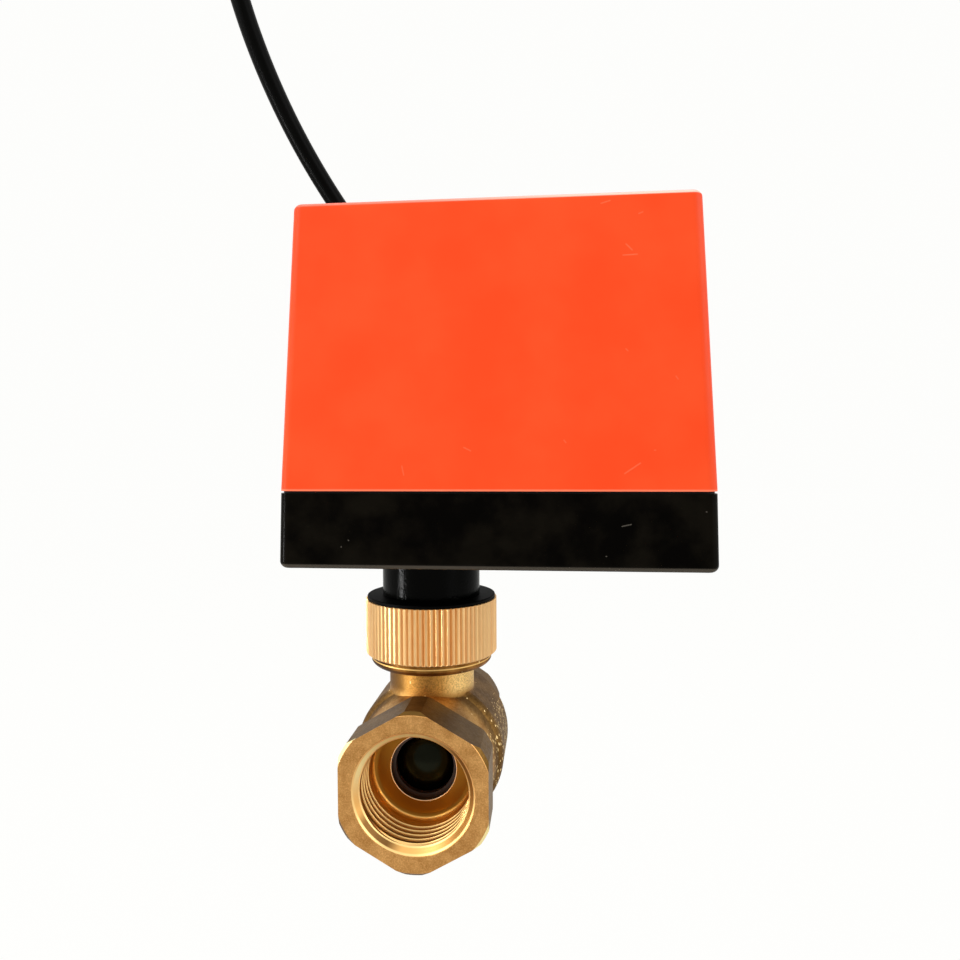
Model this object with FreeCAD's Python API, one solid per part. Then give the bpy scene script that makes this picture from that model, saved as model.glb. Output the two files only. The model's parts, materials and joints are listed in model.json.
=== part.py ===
import FreeCAD, Part
import math
import os

# Motorised ball valve: a DN20 brass valve turned by an electric actuator on its stem neck.
# The origin is the centre of the front port's mouth. X is to the right, Y runs along the
# bore towards the rear port and Z runs up the stem. Lengths are in millimetres.

Vector = FreeCAD.Vector
os.makedirs("parts", exist_ok=True)

# Clearances
fit_gap = 0.05             # fixed pieces that slide into each other on assembly
running_gap = 0.08         # shafts and pins in their bores
safe_gap = 0.3             # moving faces that pass each other

# Valve ends: hexes and ports for a G3/4 male thread
body_length = 54.0         # mouth to mouth
hex_width = 33.0           # across the flats
hex_corner_radius = 18.1   # corners are turned down to this
cap_hex_width = 30.0       # rear hex, slimmer: the ball chamber hides it from the front
cap_hex_corner_radius = 15.8
hex_chamfer = 0.8
port_thread_radius = 13.25  # wall at the root of the port's thread
port_mouth_radius = 13.72
port_drill_radius = 12.2   # smooth bore behind the thread
port_runout = 0.6          # cone at the thread's end
port_land = 2.9            # thread's end to the step before the seat
shoulder_fillet = 1.4
bore_radius = 7.8          # waterway between the shoulder and the seat

# Ball chamber
barrel_radius = 18.2
barrel_front_reach = 5.0   # from the ball's centre
barrel_rear_reach = 14.0
barrel_edge = 1.6          # rounding at the rear
barrel_shoulder = 2.0      # length of the rounding at the front
flare_start_radius = 15.9
flare_end_radius = 17.1
ball_radius = 12.0
ball_bore_radius = 7.5
chamber_radius = 12.8
cap_thread_radius = 14.9
cap_collar_radius = 16.4
cap_seal_inset = 0.3       # seal's rim inside the collar's
cap_seal_thickness = 0.5
cap_collar_reach = 16.0    # ball's centre to the end cap's hex

# Seat rings
seat_inner_radius = 6.9
seat_outer_radius = 10.5
seat_thickness = 3.3
seat_reach = 11.4          # ball's centre to the back of each ring
seat_step = 1.7            # back of the ring to the step in the port
seat_rim = 0.3             # how far the ring stands out of its pocket
seat_play = 0.15           # seat face to ball

# Stem neck of the valve
neck_radius = 10.45
collar_radius = 14.85
collar_bottom = 21.6
collar_top = 24.3
collar_lip = 1.9           # rounded rim of the collar's underside
collar_fillet = 0.6
male_thread_radius = 13.9
valve_top = 33.0
stem_radius = 4.0
stem_flange_radius = 5.6
stem_flange_thickness = 1.4
stem_pocket_radius = 5.9
stem_washer_thickness = 1.0
stem_top = 41.0
stem_flats = 6.0           # across the two flats at the stem's top
stem_flats_bottom = 34.6
tang_width = 4.0
tang_length = 8.5
tang_depth = 1.7           # how far the tang drops into the ball
o_ring_section = 1.76
o_ring_heights = (20.5, 26.5)

# Union nut
nut_radius = 16.2          # over the knurl's crests
nut_root_radius = 15.75
nut_teeth = 78
nut_bottom = 24.65
nut_top = 37.9
nut_lip = 2.5
nut_thread_radius = 14.25
nut_chamfer = 0.35
nut_mouth_chamfer = 0.7    # inside, where the thread starts
nut_washer_radius = 15.8   # between the knurl's roots and its crests
nut_washer_thickness = 0.8
nut_washer_edge = 0.25
nut_washer_gap = 0.1

# Pan-head screws inside the box
small_head_radius = 2.1
small_head = 1.4
slot_half_width = 0.35     # screwdriver slot of every screw

# Mounting neck of the actuator
mount_radius = 12.0
mount_bore_radius = 7.0
mount_flange_radius = 13.5
mount_flange_thickness = 1.9
mount_spigot_radius = 8.3
key_width = 3.0
key_height = 1.2
neck_screw_circle = 10.2
neck_screw_count = 3
neck_screw_radius = 1.1
neck_screw_depth = 6.0     # in the neck
neck_hole_depth = 7.0

# Box: tray below, tapered cover above; width and depth are taken at the joint between them
box_width = 91.0
box_depth = 60.0
box_left = -27.7           # left side, from the stem
tray_bottom = 49.35
tray_top = 65.36
cover_top = 126.35
tray_draft_width = 0.8     # how much wider and deeper the tray is at its foot
tray_draft_depth = 0.6
cover_draft_width = 6.45   # how much narrower the cover is at its top
cover_draft_depth = 3.4
gasket_thickness = 0.5
gasket_inset = 0.45
wall = 2.5
box_corner_radius = 2.2
tray_edge_radius = 1.5
cover_edge_radius = 1.4
tongue_height = 2.2
tongue_thickness = 1.1
post_inset_x = 8.5         # cover screw posts, from the box's sides
post_inset_y = 8.5
tray_post_radius = 4.0
cover_post_radius = 3.4
cover_screw_radius = 1.45
cover_screw_head_radius = 2.8
cover_screw_head = 1.9
cover_screw_length = 24.0

# Chassis: two plates on pillars
lower_plate_bottom = 55.0
lower_plate_thickness = 1.5
upper_plate_bottom = 70.0
upper_plate_thickness = 1.5
plate_post_gap = 0.8       # plate edges to the cover's screw posts
plate_wall_gap = 1.4       # upper plate to the cover's right wall
plate_margin_y = 5.0       # plate edges from the box's front and rear
pillar_radius = 2.8
pillar_edge_y = 3.6        # pillars from the plates' front and rear edges
pillar_front_inset = 4.0   # right pillars from the lower plate's right edge
pillar_rear_inset = 5.5
stud_radius = 1.4
boss_radius = 3.6
pillar_hole_radius = 1.3
pillar_hole_depth = 5.5
pillar_screw_radius = 1.25
pillar_screw_length = 6.5

# Gears, all of one module
gear_module = 1.0
pressure_angle = 20.0
backlash = 0.16
output_teeth = 36
idler_teeth = 24
pinion_teeth = 12
gear_bottom = 58.2
gear_thickness = 5.0
idler_direction = -20.0    # seen from the output shaft
pinion_direction = 75.0    # seen from the idler
shaft_radius = 5.0
shaft_socket_radius = 6.3
shaft_socket_bottom = 34.2
shaft_socket_top = 45.5
shaft_top = 84.0
bush_radius = 6.5
bush_flange_radius = 8.0
bush_flange_thickness = 0.8
gear_hub_radius = 7.6
idler_axle_radius = 2.0
idler_hub_radius = 4.0
motor_shaft_radius = 2.0

# Motor, in the space between the cams, the right wall and the pillars
motor_height = 20.0
motor_cam_gap = 3.1
motor_wall_gap = 3.8
motor_row_gap = 9.0        # motor to the box's front and rear
motor_ear_radius = 2.8
motor_ear_thickness = 1.2
motor_ear_angle = 30.0
motor_edge_radius = 1.5
motor_screw_radius = 1.2
motor_screw_reach = 1.5    # past the upper plate

# Limit cams and switches
cam_base_radius = 9.6
cam_lobe_radius = 11.9
cam_lobe_angle = 34.0
cam_thickness = 3.0
cam_gap = 1.5
cam_clearance = 1.6        # upper plate to the lower cam
switch_length = 19.8
switch_thickness = 6.4
switch_wall_gap = 2.8      # back of a switch to the box's wall
switch_lever_room = 2.6    # switch's face to a cam's lobe
lever_pin_radius = 0.7
lever_thickness = 0.4
lever_width = 3.4
lever_rise = 1.15          # lever pin above the switch's face
lever_tip_rise = 2.05
lever_length = 15.0
button_radius = 0.9
button_height = 0.5
button_offset = 7.0        # button from the lever's pin
switch_hole_spacing = 9.5
switch_screw_radius = 1.1
switch_screw_reach = 2.5   # past the switch

# Circuit board and what it carries
board_bottom = 97.0
board_thickness = 1.6
board_right_gap = 21.3     # to the box's right side
board_margin_y = 6.0
board_pillar_radius = 2.2
board_pillar_edge_y = 2.3  # middle pillars from the board's front and rear edges
board_pillar_spread = 13.5  # left pillars from the stem, front and rear
board_pillar_motor_x = 9.0  # front pillar from the motor's left side
board_hole_depth = 6.0
board_screw_radius = 1.2
board_stud_radius = 1.2    # foot of a board pillar, in the upper plate
board_screw_grip = 4.5     # below the board
board_part_inset = 5.0     # relay and capacitor from the board's ends
relay_size = (19.0, 15.5, 15.0)
capacitor_size = (18.0, 9.0, 14.0)
terminal_pitch = 5.08
terminal_ways = 5
terminal_depth = 8.0
terminal_height = 10.0
terminal_step_depth = 2.4  # step over the wire openings
terminal_step_height = 5.5
terminal_head_gap = 1.0    # block to the head of the screw beside it

# Lead and its entry in the tray's rear wall
cord_radius = 3.25
core_radius = 1.15
core_length = 28.0
core_circle = 1.6
entry_hole_radius = 5.0
entry_flange_radius = 7.0
entry_flange_thickness = 2.0
entry_inner_radius = 5.4
entry_tip_radius = 4.4
tail_length = 13.0         # lead inside the box
clamp_inset = 5.0          # clamp from the tray's rear wall
clamp_half_length = 3.0
clamp_wall = 1.6
clamp_screw_gap = 3.6      # clamp screws from the lead's side
clamp_foot = 2.6           # clamp's end from the middle of its screw
clamp_boss_radius = 2.2
clamp_screw_radius = 1.0
clamp_head_radius = 1.7
clamp_head = 1.3
clamp_screw_length = 4.6
entry_offset = 8.2         # lead from the box's middle
entry_rise = 8.05          # lead above the tray's foot
# The lead's course in the air, from the strain relief's tip to its free end, as distances
# from the hole in the tray's rear wall.
cord_course = (
    (0.0, 19.7, 0.0), (0.0, 40.7, 0.0), (-5.0, 63.7, 10.6), (-18.0, 77.7, 30.6),
    (-37.5, 76.7, 56.6), (-59.5, 64.7, 85.6), (-81.5, 50.7, 117.6), (-97.0, 38.7, 151.6),
    (-105.5, 29.2, 185.6), (-110.5, 22.2, 216.6),
)
cord_arc_share = 0.45      # of the shorter run that each arc may use

# Derived places of the valve, from the ball's centre outwards
stem_y = body_length / 2.0
seat_front = stem_y - seat_reach
pocket_end = seat_front + seat_thickness - seat_rim
shoulder_depth = seat_front - seat_step
port_thread_length = shoulder_depth - port_land
hex_length = stem_y - cap_collar_reach
barrel_front = stem_y - barrel_front_reach
barrel_rear = stem_y + barrel_rear_reach
cap_collar_end = stem_y + cap_collar_reach

# Derived places of the box
box_right = box_left + box_width
box_center_x = (box_left + box_right) / 2.0
box_center_y = stem_y
box_front_y = box_center_y - box_depth / 2.0
box_rear_y = box_center_y + box_depth / 2.0
tray_bottom_width = box_width + tray_draft_width
tray_bottom_depth = box_depth + tray_draft_depth
cover_top_width = box_width - cover_draft_width
cover_top_depth = box_depth - cover_draft_depth
tray_floor = tray_bottom + wall
cover_bottom = tray_top + gasket_thickness
cover_inner_top = cover_top - wall

# Derived places of the lead
entry_x = box_center_x + entry_offset
entry_height = tray_bottom + entry_rise
entry_face_y = box_center_y + tray_bottom_depth / 2.0
entry_tip_y = entry_face_y + cord_course[0][1]
cord_points = [(entry_x + dx, entry_face_y + dy, entry_height + dz) for dx, dy, dz in cord_course]
clamp_seat = entry_height
clamp_y = box_rear_y - wall - clamp_inset

# Derived places inside the box
gear_top = gear_bottom + gear_thickness
lower_plate_top = lower_plate_bottom + lower_plate_thickness
upper_plate_top = upper_plate_bottom + upper_plate_thickness
motor_bottom = upper_plate_top
motor_top = motor_bottom + motor_height
idler_distance = gear_module * (output_teeth + idler_teeth) / 2.0
pinion_distance = gear_module * (idler_teeth + pinion_teeth) / 2.0
idler_x = idler_distance * math.cos(math.radians(idler_direction))
idler_y = stem_y + idler_distance * math.sin(math.radians(idler_direction))
pinion_x = idler_x + pinion_distance * math.cos(math.radians(pinion_direction))
pinion_y = idler_y + pinion_distance * math.sin(math.radians(pinion_direction))
lower_cam_bottom = upper_plate_top + cam_clearance
upper_cam_bottom = lower_cam_bottom + cam_thickness + cam_gap
clip_bottom = upper_cam_bottom + cam_thickness + 0.4
switch_rise = upper_cam_bottom - lower_cam_bottom
switch_front_y = box_front_y + wall + switch_wall_gap
switch_depth = stem_y - cam_lobe_radius - switch_lever_room - switch_front_y
lever_pin_x = switch_length / 2.0 - 1.6
motor_left = cam_lobe_radius + motor_cam_gap
motor_right = box_right - wall - motor_wall_gap
motor_x = (motor_left + motor_right) / 2.0
motor_radius = min((motor_right - motor_left) / 2.0, box_depth / 2.0 - motor_row_gap)
motor_ear_circle = motor_radius + motor_ear_radius
post_x = box_width / 2.0 - post_inset_x
post_y = box_depth / 2.0 - post_inset_y
post_spots = [(box_center_x + sx * post_x, box_center_y + sy * post_y)
              for sx in (-1, 1) for sy in (-1, 1)]
plate_left = box_left + post_inset_x + cover_post_radius + plate_post_gap
lower_plate_right = box_right - post_inset_x - tray_post_radius - plate_post_gap
upper_plate_right = box_right - wall - plate_wall_gap
plate_front_y = box_front_y + plate_margin_y
plate_rear_y = box_rear_y - plate_margin_y
pillar_left_x = plate_left + pillar_radius
pillar_spots = ((pillar_left_x, plate_front_y + pillar_edge_y),
                (pillar_left_x, plate_rear_y - pillar_edge_y),
                (lower_plate_right - pillar_front_inset, plate_front_y + pillar_edge_y),
                (lower_plate_right - pillar_rear_inset, plate_rear_y - pillar_radius))
board_top = board_bottom + board_thickness
board_left = plate_left
board_right = box_right - board_right_gap
board_front_y = box_front_y + board_margin_y
board_rear_y = box_rear_y - board_margin_y
board_pillar_spots = ((pillar_left_x, stem_y - board_pillar_spread),
                      (pillar_left_x, stem_y + board_pillar_spread),
                      (motor_left + board_pillar_motor_x, board_front_y + board_pillar_edge_y),
                      (switch_length / 2.0 + board_pillar_radius + 0.2, board_rear_y - board_pillar_edge_y))


# Shared makers

def save(name, shape):
    """Write one node's STEP file."""
    solids = shape.Solids
    out = solids[0] if len(solids) == 1 else Part.makeCompound(solids)
    out.exportStep(os.path.join("parts", name + ".step"))
    print(name, "solids", len(solids), "volume", round(out.Volume, 1))


def cylinder(radius, bottom, top, x=0.0, y=stem_y):
    """Upright cylinder between two heights."""
    return Part.makeCylinder(radius, top - bottom, Vector(x, y, bottom))


def tube(outer, inner, bottom, top, x=0.0, y=stem_y):
    """Upright ring between two heights."""
    return cylinder(outer, bottom, top, x, y).cut(cylinder(inner, bottom - 1, top + 1, x, y))


def box(x0, x1, y0, y1, z0, z1):
    """Block between two corners."""
    return Part.makeBox(x1 - x0, y1 - y0, z1 - z0, Vector(x0, y0, z0))


def wire_through(points):
    """Closed wire through 3-D points; a point given as a pair (middle, end) is reached by an arc."""
    edges = []
    here = points[0]
    for item in points[1:] + [points[0]]:
        if isinstance(item, tuple):
            middle, end = item
            edges.append(Part.Arc(here, middle, end).toShape())
            here = end
        else:
            edges.append(Part.makeLine(here, item))
            here = item
    return Part.Wire(edges)


def turn_about_bore(profile):
    """Solid turned about the bore axis from points (along the bore, radius)."""
    def place(p):
        return Vector(p[1], p[0], 0)
    points = [tuple(place(q) for q in p) if isinstance(p[0], tuple) else place(p) for p in profile]
    return Part.Face(wire_through(points)).revolve(Vector(0, 0, 0), Vector(0, 1, 0), 360)


def turn_about_stem(profile):
    """Solid turned about the stem axis from points (radius, height)."""
    def place(p):
        return Vector(p[0], stem_y, p[1])
    points = [tuple(place(q) for q in p) if isinstance(p[0], tuple) else place(p) for p in profile]
    return Part.Face(wire_through(points)).revolve(Vector(0, stem_y, 0), Vector(0, 0, 1), 360)


def mirror_rear(shape):
    """Copy at the rear port of a shape made at the front port."""
    return shape.mirror(Vector(0, body_length / 2.0, 0), Vector(0, 1, 0))


def arc_middle(center, radius, start, end):
    """Point halfway round an arc, in a profile's own plane."""
    angle = math.radians((start + end) / 2.0)
    return (center[0] + radius * math.cos(angle), center[1] + radius * math.sin(angle))


def rounded_outline(width, depth, radius, height, x=box_center_x, y=box_center_y):
    """Rectangle with round corners at one height."""
    a = width / 2.0 - radius
    b = depth / 2.0 - radius
    edges = []
    corners = ((a, b, 0), (-a, b, 90), (-a, -b, 180), (a, -b, 270))
    ends = []
    for cx, cy, start in corners:
        spots = []
        for turn in (start, start + 45, start + 90):
            t = math.radians(turn)
            spots.append(Vector(x + cx + radius * math.cos(t), y + cy + radius * math.sin(t), height))
        ends.append(spots)
    for i, spots in enumerate(ends):
        edges.append(Part.Arc(*spots).toShape())
        edges.append(Part.makeLine(spots[2], ends[(i + 1) % 4][0]))
    return Part.Wire(edges)


def tapered_block(lower, upper, radius):
    """Solid between two round-cornered rectangles, each (width, depth, height)."""
    outlines = [rounded_outline(w, d, radius, z) for w, d, z in (lower, upper)]
    return Part.makeLoft(outlines, True, True)


def fillet_at_height(shape, height, radius):
    """Round every edge that lies flat at one height."""
    edges = [e for e in shape.Edges
             if abs(e.BoundBox.ZMin - height) < 1e-4 and abs(e.BoundBox.ZMax - height) < 1e-4]
    return shape.makeFillet(radius, edges)


def screw(radius, head_radius, head, length, x, y, z, up=True):
    """Pan-head screw; z is under the head, and up says which way the shank points."""
    way = 1 if up else -1
    shank = Part.makeCylinder(radius, length, Vector(x, y, z), Vector(0, 0, way))
    cap = Part.makeCylinder(head_radius, head, Vector(x, y, z), Vector(0, 0, -way))
    rim = [e for e in cap.Edges if abs(e.BoundBox.ZMin - (z - way * head)) < 1e-4
           and abs(e.BoundBox.ZMax - (z - way * head)) < 1e-4]
    cap = cap.makeFillet(head * 0.45, rim)
    slot = box(-head_radius, head_radius, -slot_half_width, slot_half_width, 0, head * 0.4)
    slot.translate(Vector(x, y, z - head if up else z + head * 0.6))
    return cap.fuse(shank).cut(slot)


# Valve ends and the waterway

def hex_end(width, corner_radius):
    """Hex at the front: a hex bar with a vertex on top, its corners turned down and chamfered."""
    corner = width / math.sqrt(3.0)
    points = [Vector(corner * math.sin(math.radians(60 * i)), 0, corner * math.cos(math.radians(60 * i)))
              for i in range(6)]
    bar = Part.Face(Part.makePolygon(points + [points[0]])).extrude(Vector(0, hex_length, 0))
    turned = turn_about_bore([
        (0, 0), (0, corner_radius - hex_chamfer), (hex_chamfer, corner_radius),
        (hex_length - hex_chamfer / 2.0, corner_radius),
        (hex_length, corner_radius - hex_chamfer / 2.0), (hex_length, 0)])
    return bar.common(turned)


def port_cut():
    """What is bored out of the front end, from the mouth to the seat pocket."""
    mouth_chamfer = port_mouth_radius - port_thread_radius
    turn = shoulder_fillet
    center = (shoulder_depth - turn, port_drill_radius - turn)
    middle = arc_middle(center, turn, 0, 90)
    return turn_about_bore([
        (-1, 0), (-1, port_mouth_radius + 1), (0, port_mouth_radius), (mouth_chamfer, port_thread_radius),
        (port_thread_length, port_thread_radius), (port_thread_length + port_runout, port_drill_radius),
        (shoulder_depth - turn, port_drill_radius), (middle, (shoulder_depth, port_drill_radius - turn)),
        (shoulder_depth, bore_radius), (seat_front, bore_radius), (seat_front, seat_outer_radius + fit_gap),
        (pocket_end, seat_outer_radius + fit_gap), (pocket_end, 0)])


def barrel_outside():
    """Flare behind the front hex and the round ball chamber."""
    start = hex_length - 2.0
    flare_middle = ((hex_length + barrel_front) / 2.0, flare_start_radius + 0.2)
    flare_end = (barrel_front - barrel_shoulder / 2.0, flare_end_radius)
    shoulder_end = (barrel_front + barrel_shoulder / 2.0, barrel_radius)
    shoulder_middle = (barrel_front - 0.1, (flare_end_radius + barrel_radius) / 2.0 + 0.2)
    rear_center = (barrel_rear - barrel_edge, barrel_radius - barrel_edge)
    rear_middle = arc_middle(rear_center, barrel_edge, 0, 90)
    return turn_about_bore([
        (start, 0), (start, flare_start_radius), (hex_length + 1.5, flare_start_radius),
        (flare_middle, flare_end), (shoulder_middle, shoulder_end),
        (barrel_rear - barrel_edge, barrel_radius),
        (rear_middle, (barrel_rear, barrel_radius - barrel_edge)), (barrel_rear, 0)])


def neck_outside():
    """Cast stem neck, its turned collar and the blank of the thread for the union nut."""
    return turn_about_stem([
        (0, 4), (neck_radius, 4), (neck_radius, collar_bottom - collar_fillet),
        (neck_radius + collar_fillet, collar_bottom), (collar_radius - collar_lip, collar_bottom + 0.1),
        ((collar_radius - 0.55, collar_bottom + 0.6), (collar_radius, collar_bottom + 1.3)),
        (collar_radius, collar_top), (male_thread_radius, collar_top),
        (male_thread_radius, valve_top - 0.8), (male_thread_radius - 0.8, valve_top), (0, valve_top)])


def stem_bore():
    """Stem hole with the pocket that keeps the stem's flange in."""
    flange_top = chamber_radius + 0.1 + stem_flange_thickness + stem_washer_thickness + 0.1
    hole = cylinder(stem_radius + running_gap, 0, valve_top + 1)
    pocket = cylinder(stem_pocket_radius, 0, flange_top)
    return hole.fuse(pocket)


def key_slots(gap):
    """Two keys across the valve's top that stop the actuator turning."""
    reach = mount_flange_radius - 0.4
    keys = []
    for side in (-1, 1):
        inner = side * (reach - 3.6)
        outer = side * (reach + gap)
        keys.append(box(min(inner, outer), max(inner, outer), stem_y - key_width / 2.0 - gap,
                        stem_y + key_width / 2.0 + gap, valve_top - key_height - gap, valve_top + 0.2))
    return keys[0].fuse(keys[1])


def valve_body():
    front = hex_end(hex_width, hex_corner_radius)
    blank = front.fuse(barrel_outside()).fuse(neck_outside()).removeSplitter()
    plug_start = body_length - pocket_end - 0.1
    chamber = turn_about_bore([
        (pocket_end - 0.1, 0), (pocket_end - 0.1, chamber_radius), (plug_start, chamber_radius),
        (plug_start, cap_thread_radius + fit_gap), (barrel_rear + 1, cap_thread_radius + fit_gap),
        (barrel_rear + 1, 0)])
    return blank.cut(port_cut()).cut(chamber).cut(stem_bore()).cut(key_slots(0.15))


def end_cap():
    collar_start = barrel_rear + cap_seal_thickness
    blank = turn_about_bore([
        (body_length - pocket_end, 0), (body_length - pocket_end, cap_thread_radius - 0.5),
        (body_length - pocket_end + 0.5, cap_thread_radius), (collar_start, cap_thread_radius),
        (collar_start, cap_collar_radius), (cap_collar_end + 0.2, cap_collar_radius),
        (cap_collar_end + 0.2, 0)])
    rear = mirror_rear(hex_end(cap_hex_width, cap_hex_corner_radius))
    return rear.fuse(blank).removeSplitter().cut(mirror_rear(port_cut()))


def cap_seal():
    return turn_about_bore([
        (barrel_rear, cap_thread_radius + fit_gap), (barrel_rear, cap_collar_radius - cap_seal_inset),
        (barrel_rear + cap_seal_thickness, cap_collar_radius - cap_seal_inset),
        (barrel_rear + cap_seal_thickness, cap_thread_radius + fit_gap)])


def seat_ring():
    """Front seat ring, hollowed to the ball's shape."""
    back = seat_front + seat_thickness
    ring = turn_about_bore([
        (seat_front, seat_inner_radius), (seat_front, seat_outer_radius),
        (back, seat_outer_radius), (back, seat_inner_radius)])
    return ring.cut(Part.makeSphere(ball_radius + seat_play, Vector(0, stem_y, 0)))


def ball():
    """Ball with its waterway across the bore: the closed position."""
    solid = Part.makeSphere(ball_radius, Vector(0, stem_y, 0), Vector(0, 0, 1))
    hole = Part.makeCylinder(ball_bore_radius, 4 * ball_radius, Vector(-2 * ball_radius, stem_y, 0),
                             Vector(1, 0, 0))
    slot = box(-ball_radius, ball_radius, stem_y - tang_width / 2.0 - fit_gap,
               stem_y + tang_width / 2.0 + fit_gap, ball_radius - tang_depth - 0.2, ball_radius + 1)
    return solid.cut(hole).cut(slot)


def valve_stem():
    """Stem with its tang in the ball, its flange, two ring grooves and two flats on top."""
    flange_bottom = chamber_radius + 0.1
    groove = stem_radius - o_ring_section
    profile = [(0, flange_bottom), (stem_flange_radius, flange_bottom),
               (stem_flange_radius, flange_bottom + stem_flange_thickness),
               (stem_radius, flange_bottom + stem_flange_thickness)]
    for height in o_ring_heights:
        low = height - o_ring_section / 2.0 - 0.1
        high = height + o_ring_section / 2.0 + 0.1
        profile += [(stem_radius, low), (groove, low), (groove, high), (stem_radius, high)]
    profile += [(stem_radius, stem_top - 0.6), (stem_radius - 0.6, stem_top), (0, stem_top)]
    solid = turn_about_stem(profile)
    for side in (-1, 1):
        y0 = stem_y + side * stem_flats / 2.0
        y1 = stem_y + side * (stem_radius + 1)
        solid = solid.cut(box(-6, 6, min(y0, y1), max(y0, y1), stem_flats_bottom, stem_top + 1))
    tang = box(-tang_length / 2.0, tang_length / 2.0, stem_y - tang_width / 2.0, stem_y + tang_width / 2.0,
               ball_radius - tang_depth, flange_bottom + 0.2)
    return solid.fuse(tang).removeSplitter()


def stem_rings():
    """Two rubber rings in the stem's grooves."""
    middle = stem_radius - o_ring_section / 2.0 + 0.02
    rings = [Part.makeTorus(middle, o_ring_section / 2.0 - 0.02, Vector(0, stem_y, height))
             for height in o_ring_heights]
    return Part.makeCompound(rings)


def stem_washer():
    bottom = chamber_radius + 0.1 + stem_flange_thickness + 0.05
    return tube(stem_pocket_radius - 0.2, stem_radius + running_gap, bottom, bottom + stem_washer_thickness)


# Union nut and mounting neck

def union_nut():
    """Knurled nut; each tooth is a shallow ridge between two straight flanks."""
    points = []
    step = 360.0 / nut_teeth
    for i in range(nut_teeth):
        for share, radius in ((0.0, nut_root_radius), (0.32, nut_radius), (0.68, nut_radius)):
            t = math.radians((i + share) * step)
            points.append(Vector(radius * math.cos(t), stem_y + radius * math.sin(t), nut_bottom))
    knurl = Part.Face(Part.makePolygon(points + [points[0]])).extrude(Vector(0, 0, nut_top - nut_bottom))
    turned = turn_about_stem([
        (0, nut_bottom), (nut_radius - nut_chamfer, nut_bottom), (nut_radius + 0.1, nut_bottom + nut_chamfer),
        (nut_radius + 0.1, nut_top), (0, nut_top)])
    lip_bottom = nut_top - nut_lip
    hollow = turn_about_stem([
        (0, nut_bottom - 1), (nut_thread_radius + nut_mouth_chamfer, nut_bottom - 1),
        (nut_thread_radius + nut_mouth_chamfer, nut_bottom),
        (nut_thread_radius, nut_bottom + nut_mouth_chamfer), (nut_thread_radius, lip_bottom),
        (mount_radius + safe_gap, lip_bottom), (mount_radius + safe_gap, nut_top + 1), (0, nut_top + 1)])
    return knurl.common(turned).cut(hollow)


def nut_washer():
    """Black washer on the nut, its outer edge slightly rounded."""
    bottom = nut_top + nut_washer_gap
    top = bottom + nut_washer_thickness
    ring = tube(nut_washer_radius, mount_radius + fit_gap, bottom, top)
    rim = [e for e in ring.Edges if abs(e.BoundBox.ZMin - top) < 1e-4
           and e.BoundBox.XMax > nut_washer_radius - 0.01]
    return ring.makeFillet(nut_washer_edge, rim)


def neck_screw_spots():
    spots = []
    for i in range(neck_screw_count):
        t = math.radians(90 + 360.0 * i / neck_screw_count)
        spots.append((neck_screw_circle * math.cos(t), stem_y + neck_screw_circle * math.sin(t)))
    return spots


def mounting_neck():
    """Black tube that the nut pulls down on the valve, with keys below and a spigot above."""
    bottom = valve_top + 0.1
    flange_top = bottom + mount_flange_thickness
    solid = turn_about_stem([
        (mount_bore_radius, bottom), (mount_flange_radius, bottom), (mount_flange_radius, flange_top),
        (mount_radius, flange_top), (mount_radius, tray_bottom), (mount_spigot_radius, tray_bottom),
        (mount_spigot_radius, tray_floor), (mount_bore_radius, tray_floor)])
    solid = solid.fuse(key_slots(0.0).common(tube(mount_flange_radius, mount_bore_radius + 0.5,
                                                  valve_top - key_height, bottom + 0.1)))
    for x, y in neck_screw_spots():
        solid = solid.cut(cylinder(neck_screw_radius + fit_gap, tray_bottom - neck_hole_depth,
                                   tray_bottom + 0.1, x, y))
    return solid.removeSplitter()


def neck_screws():
    return Part.makeCompound([screw(neck_screw_radius, small_head_radius, small_head,
                                    wall + neck_screw_depth, x, y, tray_floor, up=False)
                              for x, y in neck_screw_spots()])


# Box

def tray():
    """Open tray with screw posts, pillar bosses, a shaft hole and the lead's entry."""
    outer = tapered_block((tray_bottom_width, tray_bottom_depth, tray_bottom),
                          (box_width, box_depth, tray_top), box_corner_radius)
    outer = fillet_at_height(outer, tray_bottom, tray_edge_radius)
    inner = tapered_block((box_width - 2 * wall, box_depth - 2 * wall, tray_floor),
                          (box_width - 2 * wall, box_depth - 2 * wall, tray_top + 1),
                          box_corner_radius)
    solid = outer.cut(inner)
    post_top = tray_top - tongue_height - 0.4
    for x, y in post_spots:
        solid = solid.fuse(cylinder(tray_post_radius, tray_floor - 0.5, post_top, x, y))
    for x, y in pillar_spots:
        solid = solid.fuse(cylinder(boss_radius, tray_floor - 0.5, lower_plate_bottom, x, y))
    for x, y in post_spots:
        solid = solid.cut(cylinder(cover_screw_head_radius + 0.3, tray_bottom - 1,
                                   tray_bottom + cover_screw_head + 0.6, x, y))
        solid = solid.cut(cylinder(cover_screw_radius + 0.2, tray_bottom, post_top + 1, x, y))
    for x, y in pillar_spots:
        solid = solid.cut(cylinder(stud_radius + fit_gap, tray_floor + 0.3, lower_plate_bottom + 1, x, y))
    for x, y in neck_screw_spots():
        solid = solid.cut(cylinder(neck_screw_radius + 0.2, tray_bottom - 1, tray_floor + 1, x, y))
    solid = solid.cut(cylinder(mount_spigot_radius + fit_gap, tray_bottom - 1, tray_floor + 1))
    hole = Part.makeCylinder(entry_hole_radius, 3 * wall,
                             Vector(entry_x, box_rear_y - 2 * wall, entry_height), Vector(0, 1, 0))
    for x in clamp_screw_spots():
        solid = solid.fuse(cylinder(clamp_boss_radius, tray_floor - 0.5, clamp_seat, x, clamp_y))
        solid = solid.cut(cylinder(clamp_screw_radius + fit_gap, tray_floor, clamp_seat + 1, x, clamp_y))
    return solid.cut(hole).removeSplitter()


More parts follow.
